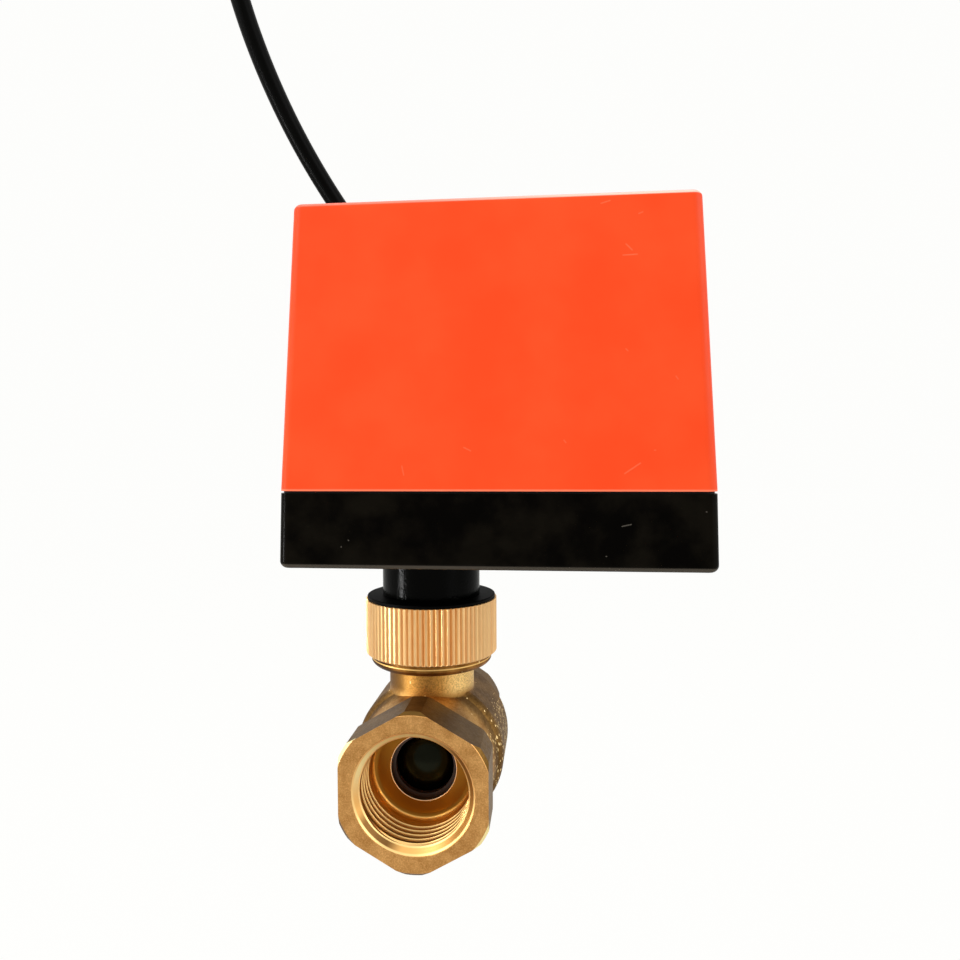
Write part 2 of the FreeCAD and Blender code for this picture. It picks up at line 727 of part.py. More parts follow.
def cover():
    """Tapered cover: a shell with a tongue that drops into the tray, and four screw posts."""
    outer = tapered_block((box_width, box_depth, cover_bottom),
                          (cover_top_width, cover_top_depth, cover_top), box_corner_radius)
    outer = fillet_at_height(outer, cover_top, cover_edge_radius)
    inner = tapered_block(
        (box_width - 2 * wall, box_depth - 2 * wall, cover_bottom - 1),
        (cover_top_width - 2 * wall, cover_top_depth - 2 * wall, cover_inner_top), box_corner_radius)
    slack = wall + 0.2
    tongue_outer = tapered_block(
        (box_width - 2 * slack, box_depth - 2 * slack, tray_top - tongue_height),
        (box_width - 2 * slack, box_depth - 2 * slack, cover_bottom + 3), box_corner_radius)
    slack += tongue_thickness
    tongue_inner = tapered_block(
        (box_width - 2 * slack, box_depth - 2 * slack, tray_top - tongue_height - 1),
        (box_width - 2 * slack, box_depth - 2 * slack, cover_bottom + 4), box_corner_radius)
    solid = outer.cut(inner)
    for x, y in post_spots:
        post = cylinder(cover_post_radius, cover_bottom + 1.0, cover_inner_top + 0.5, x, y)
        solid = solid.fuse(post.common(outer))
    solid = solid.fuse(tongue_outer.cut(tongue_inner))
    for x, y in post_spots:
        solid = solid.cut(cylinder(cover_screw_radius + fit_gap, tray_bottom,
                                   tray_bottom + cover_screw_length + 6.0, x, y))
        solid = solid.cut(cylinder(tray_post_radius + 0.3, tray_bottom, cover_bottom + 1.0, x, y))
    return solid.removeSplitter()


def gasket():
    """Thin seal between tray and cover, set in a little so the joint shows as a dark line."""
    outer_cut = 2 * gasket_inset
    inner_cut = 2 * (wall + 0.1)
    outer = tapered_block((box_width - outer_cut, box_depth - outer_cut, tray_top),
                          (box_width - outer_cut, box_depth - outer_cut, cover_bottom),
                          box_corner_radius)
    inner = tapered_block((box_width - inner_cut, box_depth - inner_cut, tray_top - 1),
                          (box_width - inner_cut, box_depth - inner_cut, cover_bottom + 1),
                          box_corner_radius)
    return outer.cut(inner)


def cover_screws():
    seat = tray_bottom + cover_screw_head + 0.6
    return Part.makeCompound([screw(cover_screw_radius, cover_screw_head_radius, cover_screw_head,
                                    cover_screw_length, x, y, seat) for x, y in post_spots])


# Chassis

def lower_plate():
    solid = box(plate_left, lower_plate_right, plate_front_y, plate_rear_y,
                lower_plate_bottom, lower_plate_top)
    notch = box(entry_x - 11.0, entry_x + 10.5, plate_rear_y - 8.5, plate_rear_y + 1,
                lower_plate_bottom - 1, lower_plate_top + 1)
    solid = solid.cut(notch).cut(cylinder(bush_radius + fit_gap, lower_plate_bottom - 1, lower_plate_top + 1))
    for x, y in pillar_spots:
        solid = solid.cut(cylinder(stud_radius + fit_gap, lower_plate_bottom - 1, lower_plate_top + 1, x, y))
    return solid.cut(cylinder(idler_axle_radius + fit_gap, lower_plate_bottom - 1, lower_plate_top + 1,
                              idler_x, idler_y))


def motor_ear_spots():
    spots = []
    for turn in (motor_ear_angle, motor_ear_angle + 180):
        t = math.radians(turn)
        spots.append((motor_x + motor_ear_circle * math.cos(t), stem_y + motor_ear_circle * math.sin(t)))
    return spots


def switch_hole_spots(rear):
    """Centres of a switch's two fixing holes."""
    depth = switch_front_y + switch_depth * 0.3
    y = 2 * stem_y - depth if rear else depth
    return [(side * switch_hole_spacing / 2.0, y) for side in (-1, 1)]


def upper_plate():
    front = switch_front_y - 0.3
    solid = box(plate_left, upper_plate_right, front, 2 * stem_y - front, upper_plate_bottom, upper_plate_top)
    low = upper_plate_bottom - 1
    high = upper_plate_top + 1
    reach = cover_post_radius + 0.8
    for x, y in post_spots:
        if x > box_center_x:
            y0, y1 = (front - 1, y + reach) if y < box_center_y else (y - reach, 2 * stem_y - front + 1)
            solid = solid.cut(box(x - reach, upper_plate_right + 1, y0, y1, low, high))
    for x, y in pillar_spots:
        solid = solid.cut(cylinder(stud_radius + fit_gap, low, high, x, y))
    for x, y in motor_ear_spots():
        solid = solid.cut(cylinder(motor_screw_radius + fit_gap, low, high, x, y))
    for x, y in switch_hole_spots(False) + switch_hole_spots(True):
        solid = solid.cut(cylinder(switch_screw_radius + fit_gap, low, high, x, y))
    for x, y in board_pillar_spots:
        solid = solid.cut(cylinder(board_stud_radius + fit_gap, low, high, x, y))
    solid = solid.cut(cylinder(bush_radius + fit_gap, low, high))
    solid = solid.cut(cylinder(motor_shaft_radius + 1.0, low, high, pinion_x, pinion_y))
    return solid.cut(cylinder(idler_axle_radius + fit_gap, low, high, idler_x, idler_y))


def pillars():
    """Posts between the plates, each with a stud below and a tapped end above."""
    solids = []
    for x, y in pillar_spots:
        post = cylinder(pillar_radius, lower_plate_top, upper_plate_bottom, x, y)
        stud = cylinder(stud_radius, tray_floor + 0.5, lower_plate_top + 0.1, x, y)
        hole = cylinder(pillar_hole_radius, upper_plate_bottom - pillar_hole_depth,
                        upper_plate_bottom + 1, x, y)
        solids.append(post.fuse(stud).cut(hole))
    return Part.makeCompound(solids)


def pillar_screws():
    return Part.makeCompound([screw(pillar_screw_radius, small_head_radius, small_head,
                                    pillar_screw_length, x, y, upper_plate_top, up=False)
                              for x, y in pillar_spots])


def lower_bush():
    flange_top = lower_plate_top + bush_flange_thickness
    return turn_about_stem([
        (shaft_radius + running_gap, lower_plate_bottom), (bush_radius, lower_plate_bottom),
        (bush_radius, lower_plate_top), (bush_flange_radius, lower_plate_top),
        (bush_flange_radius, flange_top), (shaft_radius + running_gap, flange_top)])


def upper_bush():
    flange_bottom = upper_plate_bottom - bush_flange_thickness
    return turn_about_stem([
        (shaft_radius + running_gap, flange_bottom), (bush_flange_radius, flange_bottom),
        (bush_flange_radius, upper_plate_bottom), (bush_radius, upper_plate_bottom),
        (bush_radius, upper_plate_top + 0.5), (shaft_radius + running_gap, upper_plate_top + 0.5)])


# Gears

def involute_point(base, angle):
    """Point of the unwinding curve of a base circle."""
    t = math.radians(angle)
    return (base * (math.cos(t) + t * math.sin(t)), base * (math.sin(t) - t * math.cos(t)))


def gear_blank(teeth, bottom, top, x, y, phase):
    """Spur gear with involute flanks; phase is the direction of one tooth's middle."""
    pitch_radius = gear_module * teeth / 2.0
    base = pitch_radius * math.cos(math.radians(pressure_angle))
    tip = pitch_radius + 0.95 * gear_module
    root = pitch_radius - 1.2 * gear_module
    start = max(base, root + 0.05)
    flank = []
    count = 4
    for i in range(count + 1):
        radius = start + (tip - start) * i / count
        roll = math.degrees(math.sqrt(max(radius * radius / (base * base) - 1.0, 0.0)))
        px, py = involute_point(base, roll)
        flank.append((radius, math.degrees(math.atan2(py, px))))
    roll = math.degrees(math.sqrt(pitch_radius ** 2 / base ** 2 - 1.0))
    px, py = involute_point(base, roll)
    at_pitch = math.degrees(math.atan2(py, px))
    half_tooth = 90.0 / teeth - math.degrees(backlash / 2.0 / pitch_radius)
    spots = []
    for n in range(teeth):
        middle = phase + 360.0 * n / teeth
        left = [(r, middle - half_tooth - at_pitch + a) for r, a in flank]
        right = [(r, middle + half_tooth + at_pitch - a) for r, a in reversed(flank)]
        spots += [(root, left[0][1])] + left + right + [(root, right[-1][1])]
    points = [Vector(x + r * math.cos(math.radians(a)), y + r * math.sin(math.radians(a)), bottom)
              for r, a in spots]
    return Part.Face(Part.makePolygon(points + [points[0]])).extrude(Vector(0, 0, top - bottom))


def output_gear():
    """Gear on the drive shaft, one tooth facing the idler, with a hub and lightening holes."""
    solid = gear_blank(output_teeth, gear_bottom, gear_top, 0, stem_y, idler_direction)
    low = lower_plate_top + bush_flange_thickness + 0.3
    high = upper_plate_bottom - bush_flange_thickness - 0.3
    solid = solid.fuse(cylinder(gear_hub_radius, low, high))
    for i in range(6):
        t = math.radians(60 * i + idler_direction)
        solid = solid.cut(cylinder(2.2, gear_bottom - 1, gear_top + 1, 12.0 * math.cos(t),
                                   stem_y + 12.0 * math.sin(t)))
    return solid.cut(cylinder(shaft_radius, low - 1, high + 1))


def idler_gear():
    """Gear between pinion and output gear; a gap of it faces the output gear's tooth."""
    phase = idler_direction + 180 + 180.0 / idler_teeth
    solid = gear_blank(idler_teeth, gear_bottom, gear_top, idler_x, idler_y, phase)
    low = lower_plate_top + 0.3
    high = upper_plate_bottom - 0.3
    solid = solid.fuse(cylinder(idler_hub_radius, low, high, idler_x, idler_y))
    return solid.cut(cylinder(idler_axle_radius + running_gap, low - 1, high + 1, idler_x, idler_y))


def motor_pinion():
    """Motor shaft and its pinion, turned so that its teeth meet the idler's gaps."""
    idler_phase = idler_direction + 180 + 180.0 / idler_teeth
    idler_share = (pinion_direction - idler_phase) * idler_teeth / 360.0
    pinion_share = 0.5 - idler_share
    phase = pinion_direction + 180 - pinion_share * 360.0 / pinion_teeth
    solid = gear_blank(pinion_teeth, gear_bottom, gear_top, pinion_x, pinion_y, phase)
    solid = solid.fuse(cylinder(3.4, gear_top, gear_top + 3.0, pinion_x, pinion_y))
    shaft = cylinder(motor_shaft_radius, gear_bottom, motor_bottom + 4.0, pinion_x, pinion_y)
    return solid.fuse(shaft).removeSplitter()


def drive_shaft():
    """Output shaft: a socket for the stem below, a clip groove above."""
    solid = turn_about_stem([
        (0, shaft_socket_bottom), (shaft_socket_radius, shaft_socket_bottom),
        (shaft_socket_radius, shaft_socket_top), (shaft_radius, shaft_socket_top + 1.2),
        (shaft_radius, clip_bottom - 0.1), (shaft_radius - 0.8, clip_bottom - 0.1),
        (shaft_radius - 0.8, clip_bottom + 0.9), (shaft_radius, clip_bottom + 0.9),
        (shaft_radius, shaft_top - 0.6), (shaft_radius - 0.6, shaft_top), (0, shaft_top)])
    gap = 0.15
    socket = cylinder(stem_radius + gap, shaft_socket_bottom - 1, stem_top + 0.5)
    flats = box(-6, 6, stem_y - stem_flats / 2.0 - gap, stem_y + stem_flats / 2.0 + gap,
                stem_flats_bottom + gap, stem_top + 0.5)
    entry = cylinder(stem_radius + gap, shaft_socket_bottom - 1, stem_flats_bottom + gap + 0.1)
    return solid.cut(socket.common(flats)).cut(entry)


def idler_axle():
    """Pin riveted in both plates."""
    return cylinder(idler_axle_radius, lower_plate_bottom - 0.4, upper_plate_top - 0.1, idler_x, idler_y)


# Motor

def motor():
    """Flat round motor with two ears and a shaft boss off its centre."""
    can = cylinder(motor_radius, motor_bottom, motor_top, motor_x, stem_y)
    can = fillet_at_height(can, motor_top, motor_edge_radius)
    groove_low = motor_bottom + motor_height * 0.3
    groove = tube(motor_radius + 1, motor_radius - 0.5, groove_low, groove_low + 0.8, motor_x, stem_y)
    can = can.cut(groove)
    for x, y in motor_ear_spots():
        ear = cylinder(motor_ear_radius, motor_bottom, motor_bottom + motor_ear_thickness, x, y)
        arm = box(-motor_ear_radius, motor_ear_radius, 0, motor_ear_circle - motor_radius + 2.0,
                  0, motor_ear_thickness)
        turn = math.degrees(math.atan2(y - stem_y, x - motor_x)) + 90
        arm.rotate(Vector(0, 0, 0), Vector(0, 0, 1), turn)
        arm.translate(Vector(x, y, motor_bottom))
        hole = cylinder(motor_screw_radius + fit_gap, motor_bottom - 1, motor_bottom + 3, x, y)
        can = can.fuse(ear).fuse(arm).cut(hole)
    return can.cut(cylinder(motor_shaft_radius + running_gap, motor_bottom - 1, motor_bottom + 4.5,
                            pinion_x, pinion_y))


def motor_screws():
    length = upper_plate_thickness + motor_ear_thickness + motor_screw_reach
    return Part.makeCompound([screw(motor_screw_radius, small_head_radius, small_head, length, x, y,
                                    motor_bottom + motor_ear_thickness, up=False)
                              for x, y in motor_ear_spots()])


# Limit cams and switches

def cam(bottom, lobe_direction):
    """Disc with one raised lobe, eased in by two slopes."""
    spots = []
    half = cam_lobe_angle / 2.0
    ease = 10.0
    steps = ((-half - ease, cam_base_radius), (-half, cam_lobe_radius), (half, cam_lobe_radius),
             (half + ease, cam_base_radius))
    for offset, radius in steps:
        t = math.radians(lobe_direction + offset)
        spots.append(Vector(radius * math.cos(t), stem_y + radius * math.sin(t), bottom))
    top = math.radians(lobe_direction)
    far = math.radians(lobe_direction + 180)
    crest = Vector(cam_lobe_radius * math.cos(top), stem_y + cam_lobe_radius * math.sin(top), bottom)
    back = Vector(cam_base_radius * math.cos(far), stem_y + cam_base_radius * math.sin(far), bottom)
    edges = [Part.makeLine(spots[0], spots[1]), Part.Arc(spots[1], crest, spots[2]).toShape(),
             Part.makeLine(spots[2], spots[3]), Part.Arc(spots[3], back, spots[0]).toShape()]
    disc = Part.Face(Part.Wire(edges)).extrude(Vector(0, 0, cam_thickness))
    return disc.cut(cylinder(shaft_radius, bottom - 1, bottom + cam_thickness + 1))


def cam_spacer():
    low = lower_cam_bottom + cam_thickness
    return tube(shaft_radius + 1.6, shaft_radius + fit_gap, low, low + cam_gap)


def shaft_clip():
    """Open spring ring in the shaft's groove."""
    ring = tube(shaft_radius + 2.2, shaft_radius - 0.75, clip_bottom, clip_bottom + 0.8)
    return ring.cut(box(0, 12, stem_y - 2.2, stem_y + 2.2, clip_bottom - 1, clip_bottom + 2))


def to_rear(shape):
    """Copy for the rear switch: mirrored across the shaft and raised to the upper cam."""
    copy = shape.mirror(Vector(0, stem_y, 0), Vector(0, 1, 0))
    copy.translate(Vector(0, 0, switch_rise))
    return copy


def switch_case():
    """Front limit switch: a flat case with lever ears, a button and three tabs at the back."""
    z0 = upper_plate_top
    z1 = z0 + switch_thickness
    face = switch_front_y + switch_depth
    half = switch_length / 2.0
    solid = box(-half, half, switch_front_y, face, z0, z1)
    solid = solid.makeFillet(0.5, [e for e in solid.Edges
                                   if e.BoundBox.ZMax - e.BoundBox.ZMin > switch_thickness - 0.01])
    for low in (z0 + 0.5, z1 - 1.3):
        ear = box(lever_pin_x - 1.5, lever_pin_x + 1.5, face - 0.2, face + lever_rise + 1.2, low, low + 0.8)
        solid = solid.fuse(ear)
    solid = solid.cut(cylinder(lever_pin_radius + fit_gap, z0 - 1, z1 + 1, lever_pin_x, face + lever_rise))
    button = Part.makeCylinder(button_radius, button_height + 0.3,
                               Vector(lever_pin_x - button_offset, face - 0.3, (z0 + z1) / 2.0),
                               Vector(0, 1, 0))
    for x, y in switch_hole_spots(False):
        solid = solid.cut(cylinder(switch_screw_radius + fit_gap, z0 - 1, z1 + 1, x, y))
    return solid.fuse(button).removeSplitter()


def switch_lever():
    """Sprung lever on its pin, ending in a rolled tip by the cam."""
    z0 = upper_plate_top
    face = switch_front_y + switch_depth
    middle = z0 + switch_thickness / 2.0
    pin = cylinder(lever_pin_radius, z0 + 0.6, z0 + switch_thickness - 0.6, lever_pin_x, face + lever_rise)
    tilt = math.degrees(math.atan2(lever_tip_rise - lever_rise, lever_length))
    strip = box(-lever_length, 0, -lever_thickness / 2.0, lever_thickness / 2.0,
                middle - lever_width / 2.0, middle + lever_width / 2.0)
    tip = Part.makeCylinder(lever_thickness, lever_width,
                            Vector(-lever_length, 0, middle - lever_width / 2.0))
    arm = strip.fuse(tip)
    arm.rotate(Vector(0, 0, 0), Vector(0, 0, 1), -tilt)
    arm.translate(Vector(lever_pin_x, face + lever_rise, 0))
    return pin.fuse(arm).removeSplitter()


def switch_spacer():
    """Block that lifts the rear switch to the upper cam."""
    half = switch_length / 2.0
    face = switch_front_y + switch_depth
    block = box(-half, half, 2 * stem_y - face, 2 * stem_y - switch_front_y,
                upper_plate_top, upper_plate_top + switch_rise)
    for x, y in switch_hole_spots(True):
        block = block.cut(cylinder(switch_screw_radius + fit_gap, upper_plate_top - 1,
                                   upper_plate_top + switch_rise + 1, x, y))
    return block


def switch_screws():
    solids = []
    for rear, rise in ((False, 0.0), (True, switch_rise)):
        length = switch_thickness + rise + switch_screw_reach
        for x, y in switch_hole_spots(rear):
            solids.append(screw(switch_screw_radius, small_head_radius, small_head, length, x, y,
                                upper_plate_top + switch_thickness + rise, up=False))
    return Part.makeCompound(solids)


# Circuit board

def circuit_board():
    solid = box(board_left, board_right, board_front_y, board_rear_y, board_bottom, board_top)
    for x, y in board_pillar_spots:
        solid = solid.cut(cylinder(board_screw_radius + fit_gap, board_bottom - 1, board_top + 1, x, y))
    return solid


def board_pillars():
    solids = []
    for x, y in board_pillar_spots:
        post = cylinder(board_pillar_radius, upper_plate_top, board_bottom, x, y)
        stud = cylinder(board_stud_radius, upper_plate_bottom - 1.5, upper_plate_top + 0.1, x, y)
        hole = cylinder(board_screw_radius + fit_gap, board_bottom - board_hole_depth, board_bottom + 1, x, y)
        solids.append(post.fuse(stud).cut(hole))
    return Part.makeCompound(solids)


def board_screws():
    return Part.makeCompound([screw(board_screw_radius, small_head_radius, small_head,
                                    board_thickness + board_screw_grip, x, y, board_top, up=False)
                              for x, y in board_pillar_spots])


def terminal_block():
    """Row of screw terminals for the lead's cores, stepped at the front."""
    length = terminal_ways * terminal_pitch
    x0 = board_pillar_spots[-1][0] + small_head_radius + terminal_head_gap
    y1 = board_rear_y - 2.0
    top = board_top + terminal_height
    solid = box(x0, x0 + length, y1 - terminal_depth, y1, board_top, top)
    solid = solid.cut(box(x0 - 1, x0 + length + 1, y1 - terminal_step_depth, y1 + 1,
                          board_top + terminal_step_height, top + 1))
    screw_y = y1 - (terminal_depth + terminal_step_depth) / 2.0
    screw_hole = terminal_pitch / 3.0
    mouth = terminal_pitch * 0.31
    for i in range(terminal_ways):
        x = x0 + (i + 0.5) * terminal_pitch
        solid = solid.cut(cylinder(screw_hole, top - 1.5, top + 1, x, screw_y))
        solid = solid.cut(box(x - mouth, x + mouth, y1 - 1.8, y1 + 1, board_top + 1.2,
                              board_top + 1.2 + 2 * mouth))
    return solid


def relay():
    length, depth, height = relay_size
    x0 = board_right - length - board_part_inset
    y0 = board_front_y + 6.0
    solid = box(x0, x0 + length, y0, y0 + depth, board_top, board_top + height)
    return solid.makeFillet(0.8, solid.Edges[0:1])


def capacitor():
    length, depth, height = capacitor_size
    x0 = board_left + board_part_inset
    y0 = stem_y - depth / 2.0
    solid = box(x0, x0 + length, y0, y0 + depth, board_top, board_top + height)
    return fillet_at_height(solid, board_top + height, 0.8)


# Lead

def clamp_screw_spots():
    return [entry_x + side * (cord_radius + clamp_screw_gap) for side in (-1, 1)]


def strain_relief():
    """Moulded sleeve: flanges each side of the wall and a tapered tail with cut rings."""
    y0 = entry_face_y
    inner = box_rear_y - wall
    tip = entry_tip_y
    start = entry_flange_radius - 1.2
    taper = (entry_tip_radius - start) / (tip - y0 - entry_flange_thickness)
    profile = [(inner - 1.6, cord_radius + fit_gap), (inner - 1.6, entry_inner_radius),
               (inner, entry_inner_radius), (inner, entry_hole_radius - fit_gap),
               (y0, entry_hole_radius - fit_gap), (y0, entry_flange_radius),
               (y0 + entry_flange_thickness, entry_flange_radius),
               (y0 + entry_flange_thickness, start)]
    for i in range(4):
        y = y0 + entry_flange_thickness + 3.0 + 3.6 * i
        here = start + taper * (y - y0 - entry_flange_thickness)
        after = start + taper * (y + 1.4 - y0 - entry_flange_thickness)
        profile += [(y, here), (y, here - 0.8), (y + 1.4, after - 0.8), (y + 1.4, after)]
    profile += [(tip, entry_tip_radius), (tip, cord_radius + fit_gap)]
    solid = turn_about_bore(profile)
    solid.translate(Vector(entry_x, 0, entry_height))
    return solid


def cord_tail():
    """Lead inside the sleeve and the box, up to its clamp."""
    start = box_rear_y - tail_length
    return Part.makeCylinder(cord_radius, entry_tip_y - start,
                             Vector(entry_x, start, entry_height), Vector(0, 1, 0))


def cord_clamp():
    """Saddle over the lead, screwed to two bosses of the tray."""
    half = clamp_half_length
    saddle_radius = cord_radius + clamp_wall
    foot = cord_radius + clamp_screw_gap + clamp_foot
    ring = Part.makeCylinder(saddle_radius, 2 * half, Vector(entry_x, clamp_y - half, entry_height),
                             Vector(0, 1, 0))
    left, right = entry_x - foot, entry_x + foot
    front, rear = clamp_y - half, clamp_y + half
    upper = box(left, right, front, rear, clamp_seat, clamp_seat + 2 * saddle_radius)
    feet = box(left, right, front, rear, clamp_seat, clamp_seat + clamp_wall)
    bore = Part.makeCylinder(cord_radius + fit_gap, 4 * half,
                             Vector(entry_x, clamp_y - 2 * half, entry_height), Vector(0, 1, 0))
    solid = ring.common(upper).fuse(feet).cut(bore)
    for x in clamp_screw_spots():
        solid = solid.cut(cylinder(clamp_screw_radius + fit_gap, clamp_seat - 1, clamp_seat + 4, x, clamp_y))
    return solid.removeSplitter()


def clamp_screws():
    return Part.makeCompound([screw(clamp_screw_radius, clamp_head_radius, clamp_head, clamp_screw_length,
                                    x, clamp_y, clamp_seat + clamp_wall, up=False)
                              for x in clamp_screw_spots()])


def cord_path():
    """Straight runs through the lead's points, each corner rounded by a tangent arc."""
    points = [Vector(*p) for p in cord_points]
    edges = []
    here = points[0]
    length = 0.0
    for before, corner, after in zip(points, points[1:], points[2:]):
        arriving = (corner - before).normalize()
        leaving = (after - corner).normalize()
        turn = arriving.getAngle(leaving)
        reach = cord_arc_share * min((corner - before).Length, (after - corner).Length)
        radius = reach / math.tan(turn / 2.0)
        first = corner - arriving * reach
        last = corner + leaving * reach
        bisector = (leaving - arriving).normalize()
        center = corner + bisector * (radius / math.cos(turn / 2.0))
        middle = center - bisector * radius
        edges.append(Part.LineSegment(here, first).toShape())
        edges.append(Part.Arc(first, middle, last).toShape())
        length += (first - here).Length + radius * turn
        here = last
        print("lead bend radius", round(radius, 1), "turn", round(math.degrees(turn), 1))
    edges.append(Part.LineSegment(here, points[-1]).toShape())
    length += (points[-1] - here).Length
    return Part.Wire(edges), length


def cord():
    path, length = cord_path()
    start = Vector(*cord_points[0])
    direction = (Vector(*cord_points[1]) - start).normalize()
    section = Part.Wire([Part.Circle(start, direction, cord_radius).toShape()])
    solid = path.makePipeShell([section], True, False)
    expected = math.pi * cord_radius ** 2 * length
    print("lead length", round(length, 1), "volume", round(solid.Volume, 1), "expected", round(expected, 1))
    return solid


def cord_cores():
    """Three insulated cores, bared of the sheath, spreading a little from the lead's end."""
    end = Vector(*cord_points[-1])
    along = (end - Vector(*cord_points[-2])).normalize()
    side = along.cross(Vector(0, 1, 0)).normalize()
    other = along.cross(side).normalize()
    solids = []
    for i in range(3):
        t = math.radians(120 * i + 30)
        out = side * math.cos(t) + other * math.sin(t)
        way = (along + out * 0.10).normalize()
        base = end + out * core_circle
        core = Part.makeCylinder(core_radius, core_length + 2.0, base - way * 1.0, way)
        past_end = Part.makeBox(40, 40, 80, Vector(-20, -20, 0))
        past_end.Placement = FreeCAD.Placement(end, FreeCAD.Rotation(Vector(0, 0, 1), along))
        solids.append(core.common(past_end))
    return Part.makeCompound(solids)


# Write every node

def main():
    save("valve_body", valve_body())
    save("end_cap", end_cap())
    save("cap_seal", cap_seal())
    save("seat_front", seat_ring())
    save("seat_rear", mirror_rear(seat_ring()))
    save("ball", ball())
    save("valve_stem", valve_stem())
    save("stem_rings", stem_rings())
    save("stem_washer", stem_washer())
    save("union_nut", union_nut())
    save("nut_washer", nut_washer())
    save("mounting_neck", mounting_neck())
    save("neck_screws", neck_screws())
    save("tray", tray())
    save("cover", cover())
    save("gasket", gasket())
    save("cover_screws", cover_screws())
    save("lower_plate", lower_plate())
    save("upper_plate", upper_plate())
    save("plate_pillars", pillars())
    save("pillar_screws", pillar_screws())
    save("lower_bush", lower_bush())
    save("upper_bush", upper_bush())
    save("drive_shaft", drive_shaft())
    save("output_gear", output_gear())
    save("idler_gear", idler_gear())
    save("idler_axle", idler_axle())
    save("motor_pinion", motor_pinion())
    save("motor", motor())
    save("motor_screws", motor_screws())
    save("closed_cam", cam(lower_cam_bottom, -90.0))
    save("open_cam", cam(upper_cam_bottom, 0.0))
    save("cam_spacer", cam_spacer())
    save("shaft_clip", shaft_clip())
    save("closed_switch", switch_case())
    save("open_switch", to_rear(switch_case()))
    save("closed_lever", switch_lever())
    save("open_lever", to_rear(switch_lever()))
    save("switch_spacer", switch_spacer())
    save("switch_screws", switch_screws())
    save("circuit_board", circuit_board())
    save("board_pillars", board_pillars())
    save("board_screws", board_screws())
    save("terminal_block", terminal_block())
    save("relay", relay())
    save("capacitor", capacitor())
    save("strain_relief", strain_relief())
    save("cord_tail", cord_tail())
    save("cord_clamp", cord_clamp())
    save("clamp_screws", clamp_screws())
    save("cord", cord())
    save("cord_cores", cord_cores())


main()
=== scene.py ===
import json
import math

import bpy
import numpy as np
from mathutils import Matrix, Vector

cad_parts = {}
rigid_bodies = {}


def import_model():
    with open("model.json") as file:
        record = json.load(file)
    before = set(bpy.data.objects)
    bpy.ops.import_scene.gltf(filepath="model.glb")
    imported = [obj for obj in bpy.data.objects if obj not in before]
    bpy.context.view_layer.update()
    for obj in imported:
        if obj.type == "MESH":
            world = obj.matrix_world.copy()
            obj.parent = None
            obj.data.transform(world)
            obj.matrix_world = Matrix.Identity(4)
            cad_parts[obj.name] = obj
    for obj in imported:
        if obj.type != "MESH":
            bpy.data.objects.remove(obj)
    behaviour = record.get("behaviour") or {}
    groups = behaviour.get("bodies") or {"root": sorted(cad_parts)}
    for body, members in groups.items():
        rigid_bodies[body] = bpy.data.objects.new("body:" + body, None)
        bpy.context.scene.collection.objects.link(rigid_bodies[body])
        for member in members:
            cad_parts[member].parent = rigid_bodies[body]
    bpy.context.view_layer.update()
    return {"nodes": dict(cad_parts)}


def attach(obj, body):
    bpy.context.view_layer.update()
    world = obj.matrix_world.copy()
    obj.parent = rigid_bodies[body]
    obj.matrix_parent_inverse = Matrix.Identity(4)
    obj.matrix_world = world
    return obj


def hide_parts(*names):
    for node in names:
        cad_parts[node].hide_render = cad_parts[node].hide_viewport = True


for startUpObject in list(bpy.data.objects):   # the start-up cube, lamp and camera go
    bpy.data.objects.remove(startUpObject)

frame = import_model()
print("frame loaded:", len(frame["nodes"]), "nodes")

mm = 0.001
bodyName = "valve_and_box"
valveLength = 54.0   # millimetres from mouth to mouth; the stem's axis is upright through its middle


def paint(red, green, blue):
    # a colour as it looks on screen, 0 to 255, made linear for the shaders
    def linear(value):
        share = value / 255.0
        return share / 12.92 if share <= 0.04045 else ((share + 0.055) / 1.055) ** 2.4
    return (linear(red), linear(green), linear(blue), 1.0)


# camera, measured on the photograph: metres, radians, and millimetres for lens and sensor

cameraView = {
    "place": (0.03020, -0.15437, 0.07475),
    "yaw": -0.0985,
    "pitch": -0.0430,
    "roll": -0.0044,
    "lens": 27.76,
    "sensor": 36.0,
    "nearest": 0.01,
    "farthest": 20.0,
}


def makeCamera(view):
    # yaw turns it to the right, pitch up, and roll about its own way
    yaw, pitch, roll = view["yaw"], view["pitch"], view["roll"]
    forward = Vector((math.sin(yaw) * math.cos(pitch), math.cos(yaw) * math.cos(pitch),
                      math.sin(pitch)))
    right = Vector((math.cos(yaw), -math.sin(yaw), 0.0))
    up = right.cross(forward)
    across = right * math.cos(roll) + up * math.sin(roll)
    above = up * math.cos(roll) - right * math.sin(roll)
    data = bpy.data.cameras.new("photoCamera")
    data.lens = view["lens"]
    data.sensor_width = view["sensor"]
    data.clip_start = view["nearest"]
    data.clip_end = view["farthest"]
    camera = bpy.data.objects.new("photoCamera", data)
    turn = Matrix((across, above, -forward)).transposed().to_4x4()
    turn.translation = Vector(view["place"])
    camera.matrix_world = turn
    bpy.context.scene.collection.objects.link(camera)
    bpy.context.scene.camera = camera


makeCamera(cameraView)
bpy.context.scene.view_settings.view_transform = "Standard"
print("camera placed")


# cord: straight back out of the rear strain relief, then up past the box to its bare cores
# its points are in millimetres

cordRoute = {
    "points": ((26.0, 77.0, 57.4), (26.0, 98.0, 57.4), (21.0, 121.0, 68.0), (8.0, 135.0, 88.0),
               (-12.3, 134.0, 114.0), (-34.4, 122.0, 143.0), (-55.7, 108.0, 175.0),
               (-70.4, 96.0, 209.0), (-78.1, 86.5, 243.0), (-84.5, 79.5, 274.0)),
    "radius": 3.25 * mm,
    "length": 0.292,
    "order": 3,                # how smoothly the curve follows its points
    "steps": 24,               # of the curve, between two points
    "roundness": 8,            # how finely its girth is rounded
}


